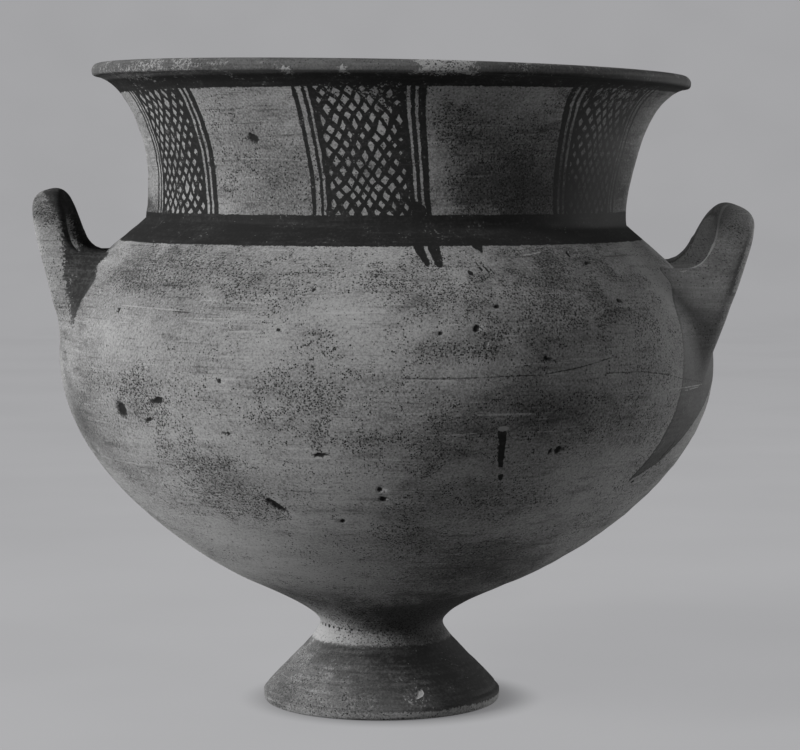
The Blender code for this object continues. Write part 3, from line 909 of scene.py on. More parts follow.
def handle_paint(handle, paint, mesh):
    """How far inside the painted outline beside a handle each vertex lies, in metres."""
    places = places_of(mesh)
    _, radius, height = turned_places(mesh)
    field = np.full(len(places), BEYOND_PAINT)
    beside = (places[:, 2] > PAINT_ABOVE) & (places[:, 2] < PAINT_BELOW)
    near = np.flatnonzero(beside & (handle.side * places[:, 0] > PAINT_BESIDE))
    mirrored = places[near] * (handle.side, 1.0, 1.0)
    mirrored[:, 1] = np.abs(mirrored[:, 1])
    frames = [handle_frame(handle, share) for share in np.linspace(0.0, 2.0, 121)]
    middles, outwards, inwards = (np.array([tuple(f[k]) for f in frames]) for k in range(3))
    nearest = np.argmin(((mirrored[:, None, :] - middles[None]) ** 2).sum(axis=2), axis=1)
    offset = mirrored - middles[nearest]
    away = (offset * outwards[nearest]).sum(axis=1)
    beyond = -(offset * inwards[nearest]).sum(axis=1)
    z, r = places[near, 2], radius[near]
    turn = np.degrees(np.arctan2(mirrored[:, 1], mirrored[:, 0] - handle.side * AXIS_X))

    outer = np.radians(edge_of(paint.tail_outer, z) - turn) * r
    inner = np.radians(turn - edge_of(paint.tail_inner, z)) * r
    off_body = 5.0 * (r - np.interp(height[near], *outside_radius()) - ROLL_FROM)
    outer = np.maximum(outer, off_body)
    arm = np.minimum(np.minimum(edge_of(paint.arm_edge, z) - away, outer), z - paint.arm_from)
    if not paint.inner_side:
        arm = np.minimum(arm, beyond + 0.001)
    tail = np.minimum(np.minimum(outer, inner), np.minimum(z - paint.tail_from, paint.tail_to - z))
    field[near] = np.maximum(arm, tail)
    return field


def footed_bowl_surface(shape):
    """The whole bowl as one mesh: turned body, handles smeared on, chips, and its paint outlines."""
    body = turned_body(shape)
    body_tree = surface_tree(body)
    core = wall_core()
    rolls = []
    for handle in (RIGHT, LEFT):
        roll = handle_roll(handle, shape)
        rolls.append((handle, roll, surface_tree(roll)))
        joined(roll, core, "DIFFERENCE")
        joined(body, roll, "UNION")
    mesh = bmesh.new()
    mesh.from_mesh(body.data)
    joints = [v for v in mesh.verts if abs(v.co.x) > JOINTS_BEYOND and v.co.z > JOINTS_ABOVE]
    bmesh.ops.remove_doubles(mesh, verts=joints, dist=JOINTS_MERGE)
    bmesh.ops.dissolve_degenerate(mesh, edges=mesh.edges, dist=SHORTEST_EDGE)
    bmesh.ops.triangulate(mesh, faces=[f for f in mesh.faces if len(f.verts) > 4])
    mesh.normal_update()
    for handle, roll, tree in rolls:
        smear_joint(mesh, body_tree, tree, handle.side, shape.joint_smear)
    mesh.normal_update()
    refine_near_marks(mesh)
    marks = skin_marks(mesh)
    marks["chip"] = cut_chips(mesh, shape)
    for label, handle, paint in (("right_paint", RIGHT, RIGHT_PAINT), ("left_paint", LEFT, LEFT_PAINT)):
        marks[label] = 1000.0 * handle_paint(handle, paint, mesh)
    mesh.normal_update()
    mesh.to_mesh(body.data)
    mesh.free()
    for name, values in marks.items():
        layer = body.data.attributes.new(name, "FLOAT", "POINT")
        layer.data.foreach_set("value", values.astype(np.float32))
    for thing in [core] + [roll for _, roll, _ in rolls]:
        bpy.data.objects.remove(thing, do_unlink=True)
    body.data.shade_smooth()
    return body


# --- Shader nodes --------------------------------------------------------------


class Value:
    """A node's output, which can be added, subtracted, multiplied and divided like a number."""

    def __init__(self, nodes, socket):
        self.nodes = nodes
        self.socket = socket

    def __add__(self, other):
        return self.nodes.math("ADD", self, other)

    def __sub__(self, other):
        return self.nodes.math("SUBTRACT", self, other)

    def __rsub__(self, other):
        return self.nodes.math("SUBTRACT", other, self)

    def __mul__(self, other):
        return self.nodes.math("MULTIPLY", self, other)

    def __truediv__(self, other):
        return self.nodes.math("DIVIDE", self, other)

    def __abs__(self):
        return self.nodes.math("ABSOLUTE", self)

    def rise(self, low, high, at_low=0.0, at_high=1.0):
        """A smooth step from at_low to at_high as the value goes from low to high."""
        inputs = (self, low, high, at_low, at_high)
        return self.nodes.add("ShaderNodeMapRange", inputs, interpolation_type="SMOOTHSTEP")[0]


class Nodes:
    """Places nodes in one tree and joins them. Their inputs can be numbers, colours and Values."""

    def __init__(self, tree):
        self.tree = tree
        self.count = 0

    def add(self, kind, inputs=(), **settings):
        """Adds a node with its inputs, and gives its outputs, which are found by name or number."""
        node = self.tree.nodes.new(kind)
        node.location = (180 * (self.count % 12), -220 * (self.count // 12))
        self.count += 1
        for name, value in settings.items():
            setattr(node, name, value)
        for key, value in inputs.items() if isinstance(inputs, dict) else enumerate(inputs):
            self.feed(node.inputs[key], value)
        outputs = {}
        for number, socket in enumerate(node.outputs):
            outputs[number] = outputs[socket.name] = Value(self, socket)
        return outputs

    def feed(self, socket, value):
        if isinstance(value, Value):
            self.tree.links.new(value.socket, socket)
        else:
            socket.default_value = value

    def math(self, operation, *inputs):
        return self.add("ShaderNodeMath", inputs, operation=operation)[0]

    def most(self, *values):
        return reduce(partial(self.math, "MAXIMUM"), values)

    def least(self, *values):
        return reduce(partial(self.math, "MINIMUM"), values)

    def length(self, a, b):
        return self.math("SQRT", a * a + b * b)

    def blend(self, share, a, b):
        """A number between a and b."""
        return self.add("ShaderNodeMix", {0: share, 2: a, 3: b}, data_type="FLOAT")[0]

    def mix(self, share, a, b):
        """A colour between a and b."""
        return self.add("ShaderNodeMix", {0: share, 6: a, 7: b}, data_type="RGBA")[2]

    def noise(self, place, scale, detail=2.0, roughness=0.55, flat=1.0):
        """Noise from 0 to 1. flat over 1 presses it into streaks that run round the bowl."""
        if flat != 1.0:
            place = self.add("ShaderNodeVectorMath", (place, (1.0, 1.0, flat)), operation="MULTIPLY")[0]
        inputs = {"Vector": place, "Scale": scale, "Detail": detail, "Roughness": roughness}
        return self.add("ShaderNodeTexNoise", inputs)["Fac"]

    def parts(self, place):
        made = self.add("ShaderNodeSeparateXYZ", (place,))
        return made["X"], made["Y"], made["Z"]

    def group(self, name, inputs):
        return self.add("ShaderNodeGroup", inputs, node_tree=bpy.data.node_groups[name])

    def put_out(self, values):
        """Gives a group its outputs."""
        for label in values:
            self.tree.interface.new_socket(label, in_out="OUTPUT", socket_type="NodeSocketFloat")
        self.add("NodeGroupOutput", values)


def new_group(name, inputs):
    """A shader node group with named inputs, as the nodes to fill it with and what it is given."""
    tree = bpy.data.node_groups.new(name, "ShaderNodeTree")
    for label, start in inputs.items():
        kind = "NodeSocketVector" if label == "Position" else "NodeSocketFloat"
        socket = tree.interface.new_socket(label, in_out="INPUT", socket_type=kind)
        if start is not None:
            socket.default_value = start
    nodes = Nodes(tree)
    return nodes, nodes.add("NodeGroupInput")


def turned_place_group():
    """Azimuth in degrees, radius and height of a place on the turned body."""
    nodes, given = new_group("turned_place", {"Position": None, "Axis X": 0.0})
    x, y, z = nodes.parts(given["Position"])
    x = x - given["Axis X"]
    front = y * -1.0
    azimuth = nodes.math("DEGREES", nodes.math("ARCTAN2", x, front))
    nodes.put_out({"Azimuth": azimuth, "Radius": nodes.length(x, front), "Height": z})


def clay_surface_group():
    """Fired clay: mottled tone, dark and pale specks gathered in drifts, and the height of its grain."""
    nodes, given = new_group("clay_surface", {"Position": None, "Mottle": 1.0, "Grit": 0.0, "Drift": 0.0})
    place, drift = given["Position"], given["Drift"]
    broad = nodes.noise(place, 26.0, 1.5, 0.60, flat=1.8) - 0.5
    patches = nodes.noise(place, 120.0, 3.0, 0.72, flat=1.4) - 0.5
    streaks = nodes.noise(place, 58.0, 2.0, 0.60, flat=3.6) - 0.5
    lines = nodes.noise(place, 38.0, 1.0, 0.60, flat=26.0)
    grain = nodes.noise(place, 1250.0, 1.0, 0.70) - 0.5
    smudges = streaks * 0.20 - streaks.rise(-0.06, -0.22, 0.0, 0.16)
    scratches = lines.rise(0.65, 0.70, 0.0, 0.20) - lines.rise(0.34, 0.30, 0.0, 0.20)
    fine = grain * 1.1 + scratches
    tone = broad * 0.62 + patches * 0.52 + smudges + fine

    gathering = (patches * 0.8 - broad * 0.5 + drift * 0.2).rise(-0.07, 0.14)
    drifting = (drift + patches * 1.5).rise(0.08, 0.95)
    share = gathering * 0.44 + (drifting * 0.56 + 0.20)
    cells = nodes.add("ShaderNodeTexVoronoi", {"Vector": place, "Scale": 1400.0, "Randomness": 1.0})
    chance = nodes.add("ShaderNodeSeparateColor", (cells["Color"],))
    reach = nodes.least((share * given["Grit"] - chance["Red"]) * 1.3, 0.47)
    inside = reach - (cells["Distance"] + grain * 0.6)
    rare = (chance["Green"] - 0.975) * 12.0
    nodes.put_out(
        {
            "Tone": tone * given["Mottle"] - share * 0.10,
            "Grit": inside.rise(-0.14, 0.08) * (chance["Blue"] + 0.30),
            "Pale Specks": (rare - cells["Distance"]).rise(-0.08, 0.04),
            "Height": grain * 0.028 + scratches * 0.05,
        }
    )


def brush_noise_group():
    """The unevenness that all brushwork shares: a slow wobble, fine flakes, and streaks round the bowl."""
    nodes, given = new_group("brush_noise", {"Position": None})
    place = given["Position"]
    nodes.put_out(
        {
            "Wobble": nodes.noise(place, 125.0, 2.0, 0.65) - 0.5,
            "Flakes": nodes.noise(place, 900.0, 1.0, 0.70) - 0.5,
            "Streaks": nodes.noise(place, 46.0, 2.0, 0.65, flat=16.0) - 0.5,
        }
    )


def worn_edge_group():
    """Turns a distance inside an outline, in millimetres, into a mask with a brushed, flaking edge."""
    starts = {"Inside": 0.0, "Wobble": 0.0, "Flakes": 0.0, "Wobbling": 0.5, "Flaking": 0.3, "Softness": 0.12}
    nodes, given = new_group("worn_edge", starts)
    inside = given["Inside"] + given["Wobble"] * given["Wobbling"] + given["Flakes"] * given["Flaking"]
    nodes.put_out({"Mask": inside.rise(given["Softness"] * -1.0, given["Softness"])})


def brushed_paint_group():
    """How thick the paint lies: brush streaks, thin patches, and bare specks where it is worn."""
    starts = {"Wobble": 0.0, "Flakes": 0.0, "Streaks": 0.0, "Streaking": 1.0, "Worn": 0.0}
    nodes, given = new_group("brushed_paint", starts)
    wobble, flakes = given["Wobble"], given["Flakes"]
    uneven = given["Streaks"] * 0.9 + wobble * 0.8 + flakes * 0.9
    cover = 1.0 - (uneven + 0.18) * given["Streaking"]
    bare = (given["Worn"] + (flakes * 1.9 + wobble * 1.3)).rise(0.42, 0.80)
    nodes.put_out({"Cover": nodes.most(nodes.least(cover, 1.0) - bare, 0.0)})


def lattice_panel_group():
    """The brushed panels on the neck: upright lines on both sides of a crossed lattice."""
    starts = {"Position": None, "Azimuth": 0.0, "Height": 0.0, "Wobble": 0.0, "Stroke": 0.5}
    nodes, given = new_group("lattice_panel", starts)
    place, height, wobble = given["Position"], given["Height"], given["Wobble"]
    leaning = given["Azimuth"] + (height - 0.5 * (BAND_HIGH + LIP_BAND_FROM)) * PANEL_LEAN
    across = 90.0
    for centre, way in PANELS:
        from_centre = nodes.math("WRAP", leaning - centre, 180.0, -180.0)
        chosen = nodes.math("LESS_THAN", abs(from_centre), PANEL_REACH)
        across = nodes.blend(chosen, across, from_centre * way)
    sway = (nodes.noise(place, 34.0, 0.0) - 0.5) * 1.8
    upright = across + (sway + wobble * 0.5)
    inside = FAR_OUTSIDE
    for centre, half_width in PANEL_LINES:
        inside = nodes.most(inside, half_width - abs(upright - centre))
    in_panel = nodes.least(upright - LATTICE_FROM, LATTICE_TO - upright)

    column, row = upright / LATTICE_ACROSS, height / LATTICE_UP
    stroke = given["Stroke"] + upright.rise(3.0, 9.0, 0.0, 0.16) + wobble * 0.40
    strokes = FAR_OUTSIDE
    for way, drift in ((1.0, 0.0), (-1.0, 3.7)):
        moved = nodes.add("ShaderNodeVectorMath", (place, (drift, drift, drift)))[0]
        step = column + row * way + (nodes.noise(moved, 80.0, 1.0) - 0.5) * 1.25
        middle = abs(nodes.math("FRACT", step) - 0.5)
        strokes = nodes.most(strokes, stroke * 0.5 - middle)
    strokes = nodes.least(strokes * LATTICE_ACROSS, in_panel)
    nodes.put_out({"Inside": nodes.most(inside, strokes) * DEGREE_ON_NECK})


# --- Materials -----------------------------------------------------------------


def new_material(name):
    material = bpy.data.materials.new(name)
    material.use_nodes = True
    tree = material.node_tree
    shader = tree.nodes["Principled BSDF"]
    shader.inputs["Metallic"].default_value = 0.0
    nodes = Nodes(tree)
    return material, nodes, shader, nodes.add("ShaderNodeTexCoord")["Object"]


def grey(value):
    """A neutral fired grey, as a linear colour."""
    return (value, value, value, 1.0)


class Skin:
    """One material's surface: where its places lie on the bowl, its marks, and the brush that paints it."""

    def __init__(self, nodes, place):
        self.nodes = nodes
        self.place = place
        turned = nodes.group("turned_place", {"Position": place, "Axis X": AXIS_X})
        self.azimuth, self.radius, self.height = turned["Azimuth"], turned["Radius"], turned["Height"]
        brush = nodes.group("brush_noise", {"Position": place})
        self.wobble, self.flakes, self.streaks = brush["Wobble"], brush["Flakes"], brush["Streaks"]

    def mark(self, name):
        return self.nodes.add("ShaderNodeAttribute", attribute_name=name)["Fac"]

    def clay(self, mottle, grit, drift):
        inputs = {"Position": self.place, "Mottle": mottle, "Grit": grit, "Drift": drift}
        return self.nodes.group("clay_surface", inputs)

    def band(self, low, high):
        """How far places lie inside a band round the bowl, in millimetres."""
        return self.nodes.least(self.height - low, high - self.height) * 1000.0

    def shape(self, inside, wobbling, flaking, softness):
        """The mask of a painted shape, from how far places lie inside its outline, in millimetres."""
        inputs = {"Inside": inside, "Wobble": self.wobble, "Flakes": self.flakes}
        inputs |= {"Wobbling": wobbling, "Flaking": flaking, "Softness": softness}
        return self.nodes.group("worn_edge", inputs)["Mask"]

    def cover(self, streaking, worn):
        """How thickly the paint lies."""
        inputs = {"Wobble": self.wobble, "Flakes": self.flakes, "Streaks": self.streaks}
        return self.nodes.group("brushed_paint", inputs | {"Streaking": streaking, "Worn": worn})["Cover"]


def neck_paint(skin, worn):
    """The neck's panels, the bands on shoulder and lip, and the single strokes, as mask and thickness."""
    nodes, height = skin.nodes, skin.height
    inputs = {"Position": skin.place, "Azimuth": skin.azimuth, "Height": height, "Wobble": skin.wobble}
    panels = nodes.group("lattice_panel", inputs | {"Stroke": 0.45})["Inside"]
    panels = nodes.least(panels, skin.band(BAND_HIGH - PANEL_OVERLAP, LIP_BAND_FROM + PANEL_OVERLAP))
    bands = nodes.most(panels, skin.band(LIP_BAND_FROM, 1.0), skin.band(BAND_LOW, BAND_HIGH))
    bands = nodes.least(bands, (BANDS_REACH - skin.radius) * 1000.0)
    drawn = skin.shape(nodes.most(bands, skin.mark("stroke")), 0.9, 0.9, 0.16)
    return drawn, skin.cover(0.45, worn + 0.03) - height.rise(*LIP_TOP) * 0.50


def right_handle_paint(skin, worn):
    """The stripe on the right handle, thin and streaky, and its thicker tail below. The arm's thin paint is
    partly the real wash and partly painted light on the arm and web, which the lamps reach little.
    """
    nodes, inside = skin.nodes, skin.mark("right_paint")
    arm = skin.height.rise(*RIGHT_ARM)
    # Paint pooled at the outline's edge, less paint towards the arm's top: that thinning is painted light on
    # the handle.
    pooling_and_painted_light = inside.rise(2.2, 0.5, 0.0, 0.16) - skin.height.rise(*RIGHT_ARM_TOP, 0.0, 0.14)
    thickness = nodes.blend(arm, 0.58, 0.26) + pooling_and_painted_light
    return skin.shape(inside, 1.6, 1.6, 0.25), skin.cover(nodes.blend(arm, 0.6, 0.9), worn + 0.04) * thickness


def left_handle_paint(skin):
    """The stripe on the left handle, dark above and worn nearly away below."""
    thickness = skin.height.rise(*LEFT_ARM, 0.16, 0.86)
    return skin.shape(skin.mark("left_paint"), 1.8, 7.0, 0.7), skin.cover(0.8, 0.02) * thickness


def foot_paint(skin, across, worn):
    """The foot's broad band, thinner and more streaky to its left and below: partly real wear, and partly
    painted light on the foot's lit left and painted shade on its shaded right.
    """
    thicker = across + (skin.height - 0.012) * 1.5
    cover = skin.cover(across.rise(-0.010, 0.022, 1.15, 0.55), worn + 0.02)
    return skin.shape(skin.band(*FOOT_PAINT), 1.8, 2.2, 0.4), cover * thicker.rise(-0.034, 0.026, 0.22, 1.0)


def stem_dots(skin, across):
    """The mask of the row of dots round the stem, larger on its left."""
    in_cell = skin.nodes.math("FRACT", skin.azimuth / STEM_DOTS_EVERY) - 0.5
    in_cell = in_cell * (1000.0 * STEM_RADIUS * math.radians(STEM_DOTS_EVERY))
    off_row = (skin.height - STEM_DOTS_HEIGHT) * 1000.0 - skin.wobble * 2.0
    size = skin.wobble * 2.6 + across.rise(-0.022, 0.009, 0.62, 0.25)
    return (size - skin.nodes.length(in_cell, off_row)).rise(-0.15, 0.15, 0.0, 0.8)


def wear_marks(skin, specks, finish):
    """Pale specks, scratches and the painted highlight on the right handle's edge, cracks and chips, as
    (share, colour), to be laid over clay and paint.
    """
    scratch = (skin.mark("scratch") + skin.flakes * 0.7).rise(-0.14, 0.10, 0.0, 0.75)
    crack = (skin.mark("crack") + skin.flakes * 0.5).rise(-0.16, 0.05)
    chip = skin.mark("chip")
    ragged = chip + skin.flakes * 1.2
    return (
        (skin.nodes.most(specks * 0.45, scratch), finish.clay_light),
        (crack * skin.streaks.rise(-0.12, 0.0, 0.3, 0.85), finish.dirt),
        # Chips darken at their ragged edge and go paint-dark in their middle: dirt in them together with
        # painted shade in their hollows.
        (ragged.rise(0.10, 0.40) * 0.80, finish.dirt),
        (ragged.rise(0.50, 0.80) * 0.90, finish.paint),
        (chip.rise(-0.25, -0.7) * 0.85, finish.clay_light),
    )


def clay_colour(nodes, tone, finish):
    return nodes.mix(tone.rise(-0.9, 0.5), finish.clay_dark, finish.clay_light)


def paint_over(nodes, colour, cover, finish):
    """Lays paint over the clay's colour: a thin wash where it covers little, then dark and thick."""
    washed = nodes.mix(0.62, colour, finish.thin_paint)
    colour = nodes.mix(cover.rise(0.0, 0.35), colour, washed)
    return nodes.mix(cover.rise(0.05, 1.0), colour, finish.paint)


def finish_clay(nodes, shader, colour, height):
    """The dull, slightly rough skin that painted and plain clay share."""
    nodes.feed(shader.inputs["Base Color"], colour)
    shader.inputs["Specular IOR Level"].default_value = 0.12
    shader.inputs["Diffuse Roughness"].default_value = 0.8
    bump = nodes.add("ShaderNodeBump", {"Strength": 0.55, "Distance": 0.001, "Height": height})
    nodes.feed(shader.inputs["Normal"], bump["Normal"])


def painted_clay(finish):
    """The outside: mottled clay with its brushed bands, panels, foot and handles."""
    material, nodes, shader, place = new_material("painted_clay")
    skin = Skin(nodes, place)
    clay = skin.clay(finish.mottle, finish.grit, skin.mark("grit_drift"))
    stem = skin.height.rise(*PALE_STEM_TOP) * skin.height.rise(*PALE_STEM_FOOT, 0.0, 0.45)
    # The patch mark added here holds the clay's own tone together with painted shade and painted light.
    tone = clay["Tone"] + skin.mark("tone_shift") + stem - skin.height.rise(*DARK_FLARE, 0.0, 0.15)

    across = nodes.parts(place)[0]
    worn = skin.mark("worn")
    painted = (
        neck_paint(skin, worn),
        right_handle_paint(skin, worn),
        left_handle_paint(skin),
        foot_paint(skin, across, worn),
    )
    dots = stem_dots(skin, across)
    mask = nodes.most(*[shape for shape, _ in painted], dots)
    cover = nodes.most(*[shape * thickness for shape, thickness in painted], dots)

    colour = clay_colour(nodes, tone, finish)
    colour = nodes.mix(clay["Grit"] * (0.95 - cover * 0.6), colour, finish.dirt)
    colour = paint_over(nodes, colour, cover, finish)
    for share, shade in wear_marks(skin, clay["Pale Specks"], finish):
        colour = nodes.mix(share, colour, shade)

    matt = nodes.blend(mask, finish.clay_roughness, finish.paint_roughness)
    nodes.feed(shader.inputs["Roughness"], matt + clay["Tone"] * 0.08)
    finish_clay(nodes, shader, colour, clay["Height"])
    return material


def plain_clay(finish):
    """The inside and the hollow of the foot: bare clay, with a worn painted edge inside the lip."""
    material, nodes, shader, place = new_material("plain_clay")
    skin = Skin(nodes, place)
    clay = skin.clay(finish.mottle * 0.8, finish.grit * 0.8, 0.1)
    # Darker towards the bottom of the inside.
    darker_low_inside = (skin.height + nodes.noise(place, 16.0) * 0.05).rise(0.15, 0.07, 0.0, 0.3)
    colour = clay_colour(nodes, clay["Tone"] - darker_low_inside, finish)
    colour = nodes.mix(clay["Grit"] * 0.7, colour, finish.dirt)
    edge = skin.shape((skin.height - LIP_BAND_FROM) * 1000.0, 3.0, 2.0, 0.3)
    colour = paint_over(nodes, colour, skin.cover(0.8, 0.2) * edge, finish)
    shader.inputs["Roughness"].default_value = finish.clay_roughness
    finish_clay(nodes, shader, colour, clay["Height"])
    return material


# --- Studio --------------------------------------------------------------------


def paper_sweep(studio):
    """A round floor that curves up into a wall on every side, in plain pale paper with a painted shadow round
    the foot.
    """
    flat, bend = studio.floor_radius, studio.floor_bend
    profile = [(flat * i / 12, 0.0) for i in range(1, 13)]
    for i in range(1, 17):
        turn = 0.5 * math.pi * i / 16
        profile.append((flat + bend * math.sin(turn), bend * (1.0 - math.cos(turn))))
    profile.append((flat + bend, WALL_TOP))
    corners = 96
    turns = [math.tau * i / corners for i in range(corners)]
    places = [(0.0, 0.0, -PAPER_DROP)]
    for r, z in profile:
        places += [(r * math.cos(turn), r * math.sin(turn), z - PAPER_DROP) for turn in turns]
    faces = [(0, 1 + i, 1 + (i + 1) % corners) for i in range(corners)]
    for first in range(1, len(places) - corners, corners):
        for i in range(corners):
            a, b = first + i, first + (i + 1) % corners
            faces.append((a, a + corners, b + corners, b))
    data = bpy.data.meshes.new("paper_sweep")
    data.from_pydata(places, [], faces)
    data.shade_smooth()
    sweep = bpy.data.objects.new("paper_sweep", data)
    sweep.visible_shadow = False
    bpy.context.scene.collection.objects.link(sweep)

    material, nodes, shader, place = new_material("pale_paper")
    x, y, _ = nodes.parts(place)
    # The glow dims in a ring round the foot: a painted shadow of the bowl on the paper.
    out = nodes.length(x - (FOOT_CENTRE_X + 0.004), y - 0.002)
    shade = out.rise(FOOT_RADIUS - 0.006, FOOT_RADIUS + 0.016, 0.45, 1.0)
    stain = nodes.noise(place, 5.0).rise(0.35, 0.70)
    glowing = nodes.mix(stain, studio.paper, tuple(0.97 * c for c in studio.paper[:3]) + (1.0,))
    glowing = nodes.mix(shade, grey(0.0), glowing)
    paper = nodes.mix(stain, grey(studio.paper_shade), grey(0.9 * studio.paper_shade))
    seen = nodes.add("ShaderNodeLightPath")["Is Camera Ray"]
    nodes.feed(shader.inputs["Base Color"], nodes.mix(seen, grey(studio.throwback), paper))
    nodes.feed(shader.inputs["Emission Color"], nodes.mix(seen, grey(0.0), glowing))
    shader.inputs["Emission Strength"].default_value = studio.paper_glow
    shader.inputs["Roughness"].default_value = 0.9
    shader.inputs["Specular IOR Level"].default_value = 0.0
    data.materials.append(material)
    return sweep


def lamp(name, kind, azimuth, elevation, distance, power, aim, **settings):
    """A lamp at an angle and distance from the place it points at."""
    data = bpy.data.lights.new(name, kind)
    data.energy = power
    for key, value in settings.items():
        setattr(data, key, value)
    light = bpy.data.objects.new(name, data)
    a, e = math.radians(azimuth), math.radians(elevation)
    back = Vector((math.sin(a) * math.cos(e), -math.cos(a) * math.cos(e), math.sin(e)))
    light.location = Vector(aim) + back * distance
    light.rotation_mode = "QUATERNION"
    light.rotation_quaternion = (-back).to_track_quat("-Z", "Y")
    light.visible_camera = False
    bpy.context.scene.collection.objects.link(light)


def front_camera(studio):
    data = bpy.data.cameras.new("front_camera")
    data.sensor_width = 36.0
    data.lens = studio.lens
    data.clip_start = 0.05
    camera = bpy.data.objects.new("front_camera", data)
    camera.location = studio.camera_place
    camera.rotation_euler = (math.radians(90.0) - studio.camera_dip, 0.0, 0.0)
    bpy.context.scene.collection.objects.link(camera)
    bpy.context.scene.camera = camera
    return camera


# --- Add-on ----------------------------------------------------------------------


class FootedBowlShape(bpy.types.PropertyGroup):
    """How finely the bowl is made and how deep its hand marks are."""

    corners: IntProperty(name="Corners", description="Corners round the bowl", default=256, min=64, max=320)
    roll_corners: IntProperty(
        name="Roll Corners", description="Corners round a handle's roll", default=40, min=12
    )
    roll_rings: IntProperty(name="Roll Rings", description="Rings along half a handle", default=72, min=12)
    turning_depth: FloatProperty(
        name="Turning Marks", description="Depth of the marks outside",
        default=0.00016, unit="LENGTH", precision=5,
    )
    throwing_depth: FloatProperty(
        name="Throwing Ridges", description="Depth of the ridges inside",
        default=0.0004, unit="LENGTH", precision=5,
    )
    finger_depth: FloatProperty(
        name="Finger Marks", description="Unevenness of the handles",
        default=0.00035, unit="LENGTH", precision=5,
    )
    joint_smear: FloatProperty(
        name="Joint Smear", description="Reach of the clay smeared over joints", default=0.005, unit="LENGTH"
    )
    chip_depth: FloatProperty(
        name="Chip Depth", description="Depth of the chips", default=1.0, min=0.0, max=2.0
    )
    foot_groove: FloatProperty(
        name="Foot Groove", description="Depth of the line over the foot's edge",
        default=0.0002, unit="LENGTH", precision=5,
    )


class FootedBowlFinish(bpy.types.PropertyGroup):
    """Colours and wear of the clay and its paint."""

    clay_light: FloatVectorProperty(
        name="Clay, Light", description="Lightest clay", subtype="COLOR", size=4, default=grey(0.50)
    )
    clay_dark: FloatVectorProperty(
        name="Clay, Dark", description="Darkest clay", subtype="COLOR", size=4, default=grey(0.08)
    )
    paint: FloatVectorProperty(
        name="Paint", description="Thick dark paint", subtype="COLOR", size=4, default=grey(0.022)
    )
    thin_paint: FloatVectorProperty(
        name="Thin Paint", description="Paint worn thin", subtype="COLOR", size=4, default=grey(0.10)
    )
    dirt: FloatVectorProperty(
        name="Dirt", description="Grit, cracks and chips", subtype="COLOR", size=4, default=grey(0.03)
    )
    mottle: FloatProperty(
        name="Mottling", description="Strength of the clay's mottling", default=1.0, min=0.0
    )
    grit: FloatProperty(name="Grit", description="Amount of dark grit", default=1.0, min=0.0, max=2.0)
    clay_roughness: FloatProperty(name="Clay Roughness", description="Roughness of bare clay", default=0.85)
    paint_roughness: FloatProperty(name="Paint Roughness", description="Roughness of paint", default=0.7)


class FootedBowlStudio(bpy.types.PropertyGroup):
    """Floor, lights and camera."""

    paper: FloatVectorProperty(
        name="Paper", description="Colour of the floor and wall",
        subtype="COLOR", size=4, default=(0.352, 0.352, 0.362, 1.0),
    )
    paper_glow: FloatProperty(
        name="Paper Glow", description="Even light from behind the paper", default=1.03, min=0.0
    )
    paper_shade: FloatProperty(
        name="Paper Shade", description="How pale the paper is under the lamps alone",
        default=0.10, min=0.0, max=1.0,
    )
    throwback: FloatProperty(
        name="Throwback", description="Share of light the paper throws back on the bowl",
        default=0.3, min=0.0, max=1.0,
    )
    floor_radius: FloatProperty(
        name="Floor Radius", description="Flat part of the floor", default=2.4, unit="LENGTH"
    )
    floor_bend: FloatProperty(
        name="Floor Bend", description="Radius up to the wall", default=1.2, unit="LENGTH"
    )
    key_power: FloatProperty(
        name="Key Power", description="Power of the main light", default=26.8, unit="POWER"
    )
    rim_power: FloatProperty(
        name="Rim Power", description="Power of the light from behind", default=11.5, unit="POWER"
    )
    fill_power: FloatProperty(
        name="Fill Power", description="Power of the light on the right", default=1.1, unit="POWER"
    )
    handle_power: FloatProperty(
        name="Handle Power", description="Power of the right handle's lamp", default=5.0, unit="POWER"
    )
    sky: FloatProperty(
        name="Sky", description="Strength of the even light from above", default=0.035, min=0.0
    )
    lens: FloatProperty(name="Lens", description="Focal length in millimetres", default=121.0)
    camera_place: FloatVectorProperty(
        name="Camera Place", description="Where the camera stands",
        subtype="XYZ", default=(0.003, -1.1, 0.2202),
    )
    camera_dip: FloatProperty(
        name="Camera Dip", description="How far the camera looks down",
        default=math.radians(4.487), subtype="ANGLE",
    )


class FOOTEDBOWL_OT_bowl(bpy.types.Operator):
    """Build the bowl's surface and its painted and plain clay"""

    bl_idname = "footedbowl.bowl"
    bl_label = "Footed Bowl"

    def execute(self, context):
        scene = context.scene
        turned_place_group()
        clay_surface_group()
        brush_noise_group()
        worn_edge_group()
        brushed_paint_group()
        lattice_panel_group()
        bowl = footed_bowl_surface(scene.footed_bowl_shape)
        bowl.data.materials.clear()
        for make in (painted_clay, plain_clay):
            bowl.data.materials.append(make(scene.footed_bowl_finish))
        line_inside(bowl)
        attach(bowl, "root")
        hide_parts("footed_bowl")
        return {"FINISHED"}


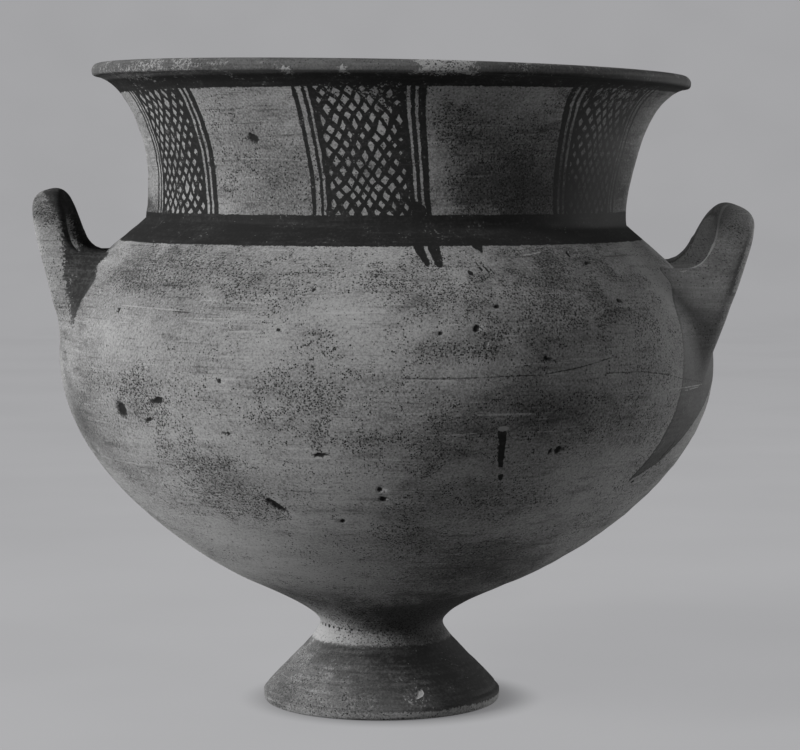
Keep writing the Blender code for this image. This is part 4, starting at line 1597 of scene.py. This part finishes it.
class FOOTEDBOWL_OT_stage(bpy.types.Operator):
    """Set up the paper floor, the soft lights and the camera"""

    bl_idname = "footedbowl.stage"
    bl_label = "Studio"

    def execute(self, context):
        studio = context.scene.footed_bowl_studio
        paper_sweep(studio)
        middle = (0.0, 0.0, 0.5 * CAD_HIGH.z)
        soft = (
            ("key_light", -60.0, 24.0, 1.6, studio.key_power, 0.6),
            ("rim_light", 114.0, 2.0, 1.3, studio.rim_power, 1.0),
            ("fill_light", 62.0, 32.0, 1.3, studio.fill_power, 0.8),
        )
        for name, azimuth, elevation, distance, power, size in soft:
            lamp(name, "AREA", azimuth, elevation, distance, power, middle, shape="DISK", size=size)
        beam = {"spot_size": math.radians(7.0), "spot_blend": 1.0, "shadow_soft_size": 0.06}
        lamp("handle_light", "SPOT", -8.0, 24.0, 1.2, studio.handle_power, HANDLE_LIT, **beam)
        world = bpy.data.worlds.new("studio_sky")
        world.use_nodes = True
        background = world.node_tree.nodes["Background"]
        background.inputs["Color"].default_value = grey(1.0)
        background.inputs["Strength"].default_value = studio.sky
        context.scene.world = world
        context.scene.view_settings.view_transform = "Standard"
        front_camera(studio)
        return {"FINISHED"}


class FOOTEDBOWL_PT_panel(bpy.types.Panel):
    """Sizes, colours and the two build steps"""

    bl_idname = "FOOTEDBOWL_PT_panel"
    bl_label = "Footed Bowl"
    bl_space_type = "VIEW_3D"
    bl_region_type = "UI"
    bl_category = "Footed Bowl"

    def draw(self, context):
        layout = self.layout
        steps = (
            (context.scene.footed_bowl_shape, None),
            (context.scene.footed_bowl_finish, FOOTEDBOWL_OT_bowl.bl_idname),
            (context.scene.footed_bowl_studio, FOOTEDBOWL_OT_stage.bl_idname),
        )
        for settings, step in steps:
            box = layout.box()
            for name in settings.__annotations__:
                box.prop(settings, name)
            if step:
                box.operator(step)


CLASSES = (
    FootedBowlShape,
    FootedBowlFinish,
    FootedBowlStudio,
    FOOTEDBOWL_OT_bowl,
    FOOTEDBOWL_OT_stage,
    FOOTEDBOWL_PT_panel,
)


def register():
    for made in CLASSES:
        bpy.utils.register_class(made)
    bpy.types.Scene.footed_bowl_shape = PointerProperty(type=FootedBowlShape)
    bpy.types.Scene.footed_bowl_finish = PointerProperty(type=FootedBowlFinish)
    bpy.types.Scene.footed_bowl_studio = PointerProperty(type=FootedBowlStudio)


def unregister():
    del bpy.types.Scene.footed_bowl_shape
    del bpy.types.Scene.footed_bowl_finish
    del bpy.types.Scene.footed_bowl_studio
    for made in reversed(CLASSES):
        bpy.utils.unregister_class(made)


def main():
    register()
    bpy.ops.footedbowl.stage()
    bpy.ops.footedbowl.bowl()


if __name__ == "__main__":
    main()
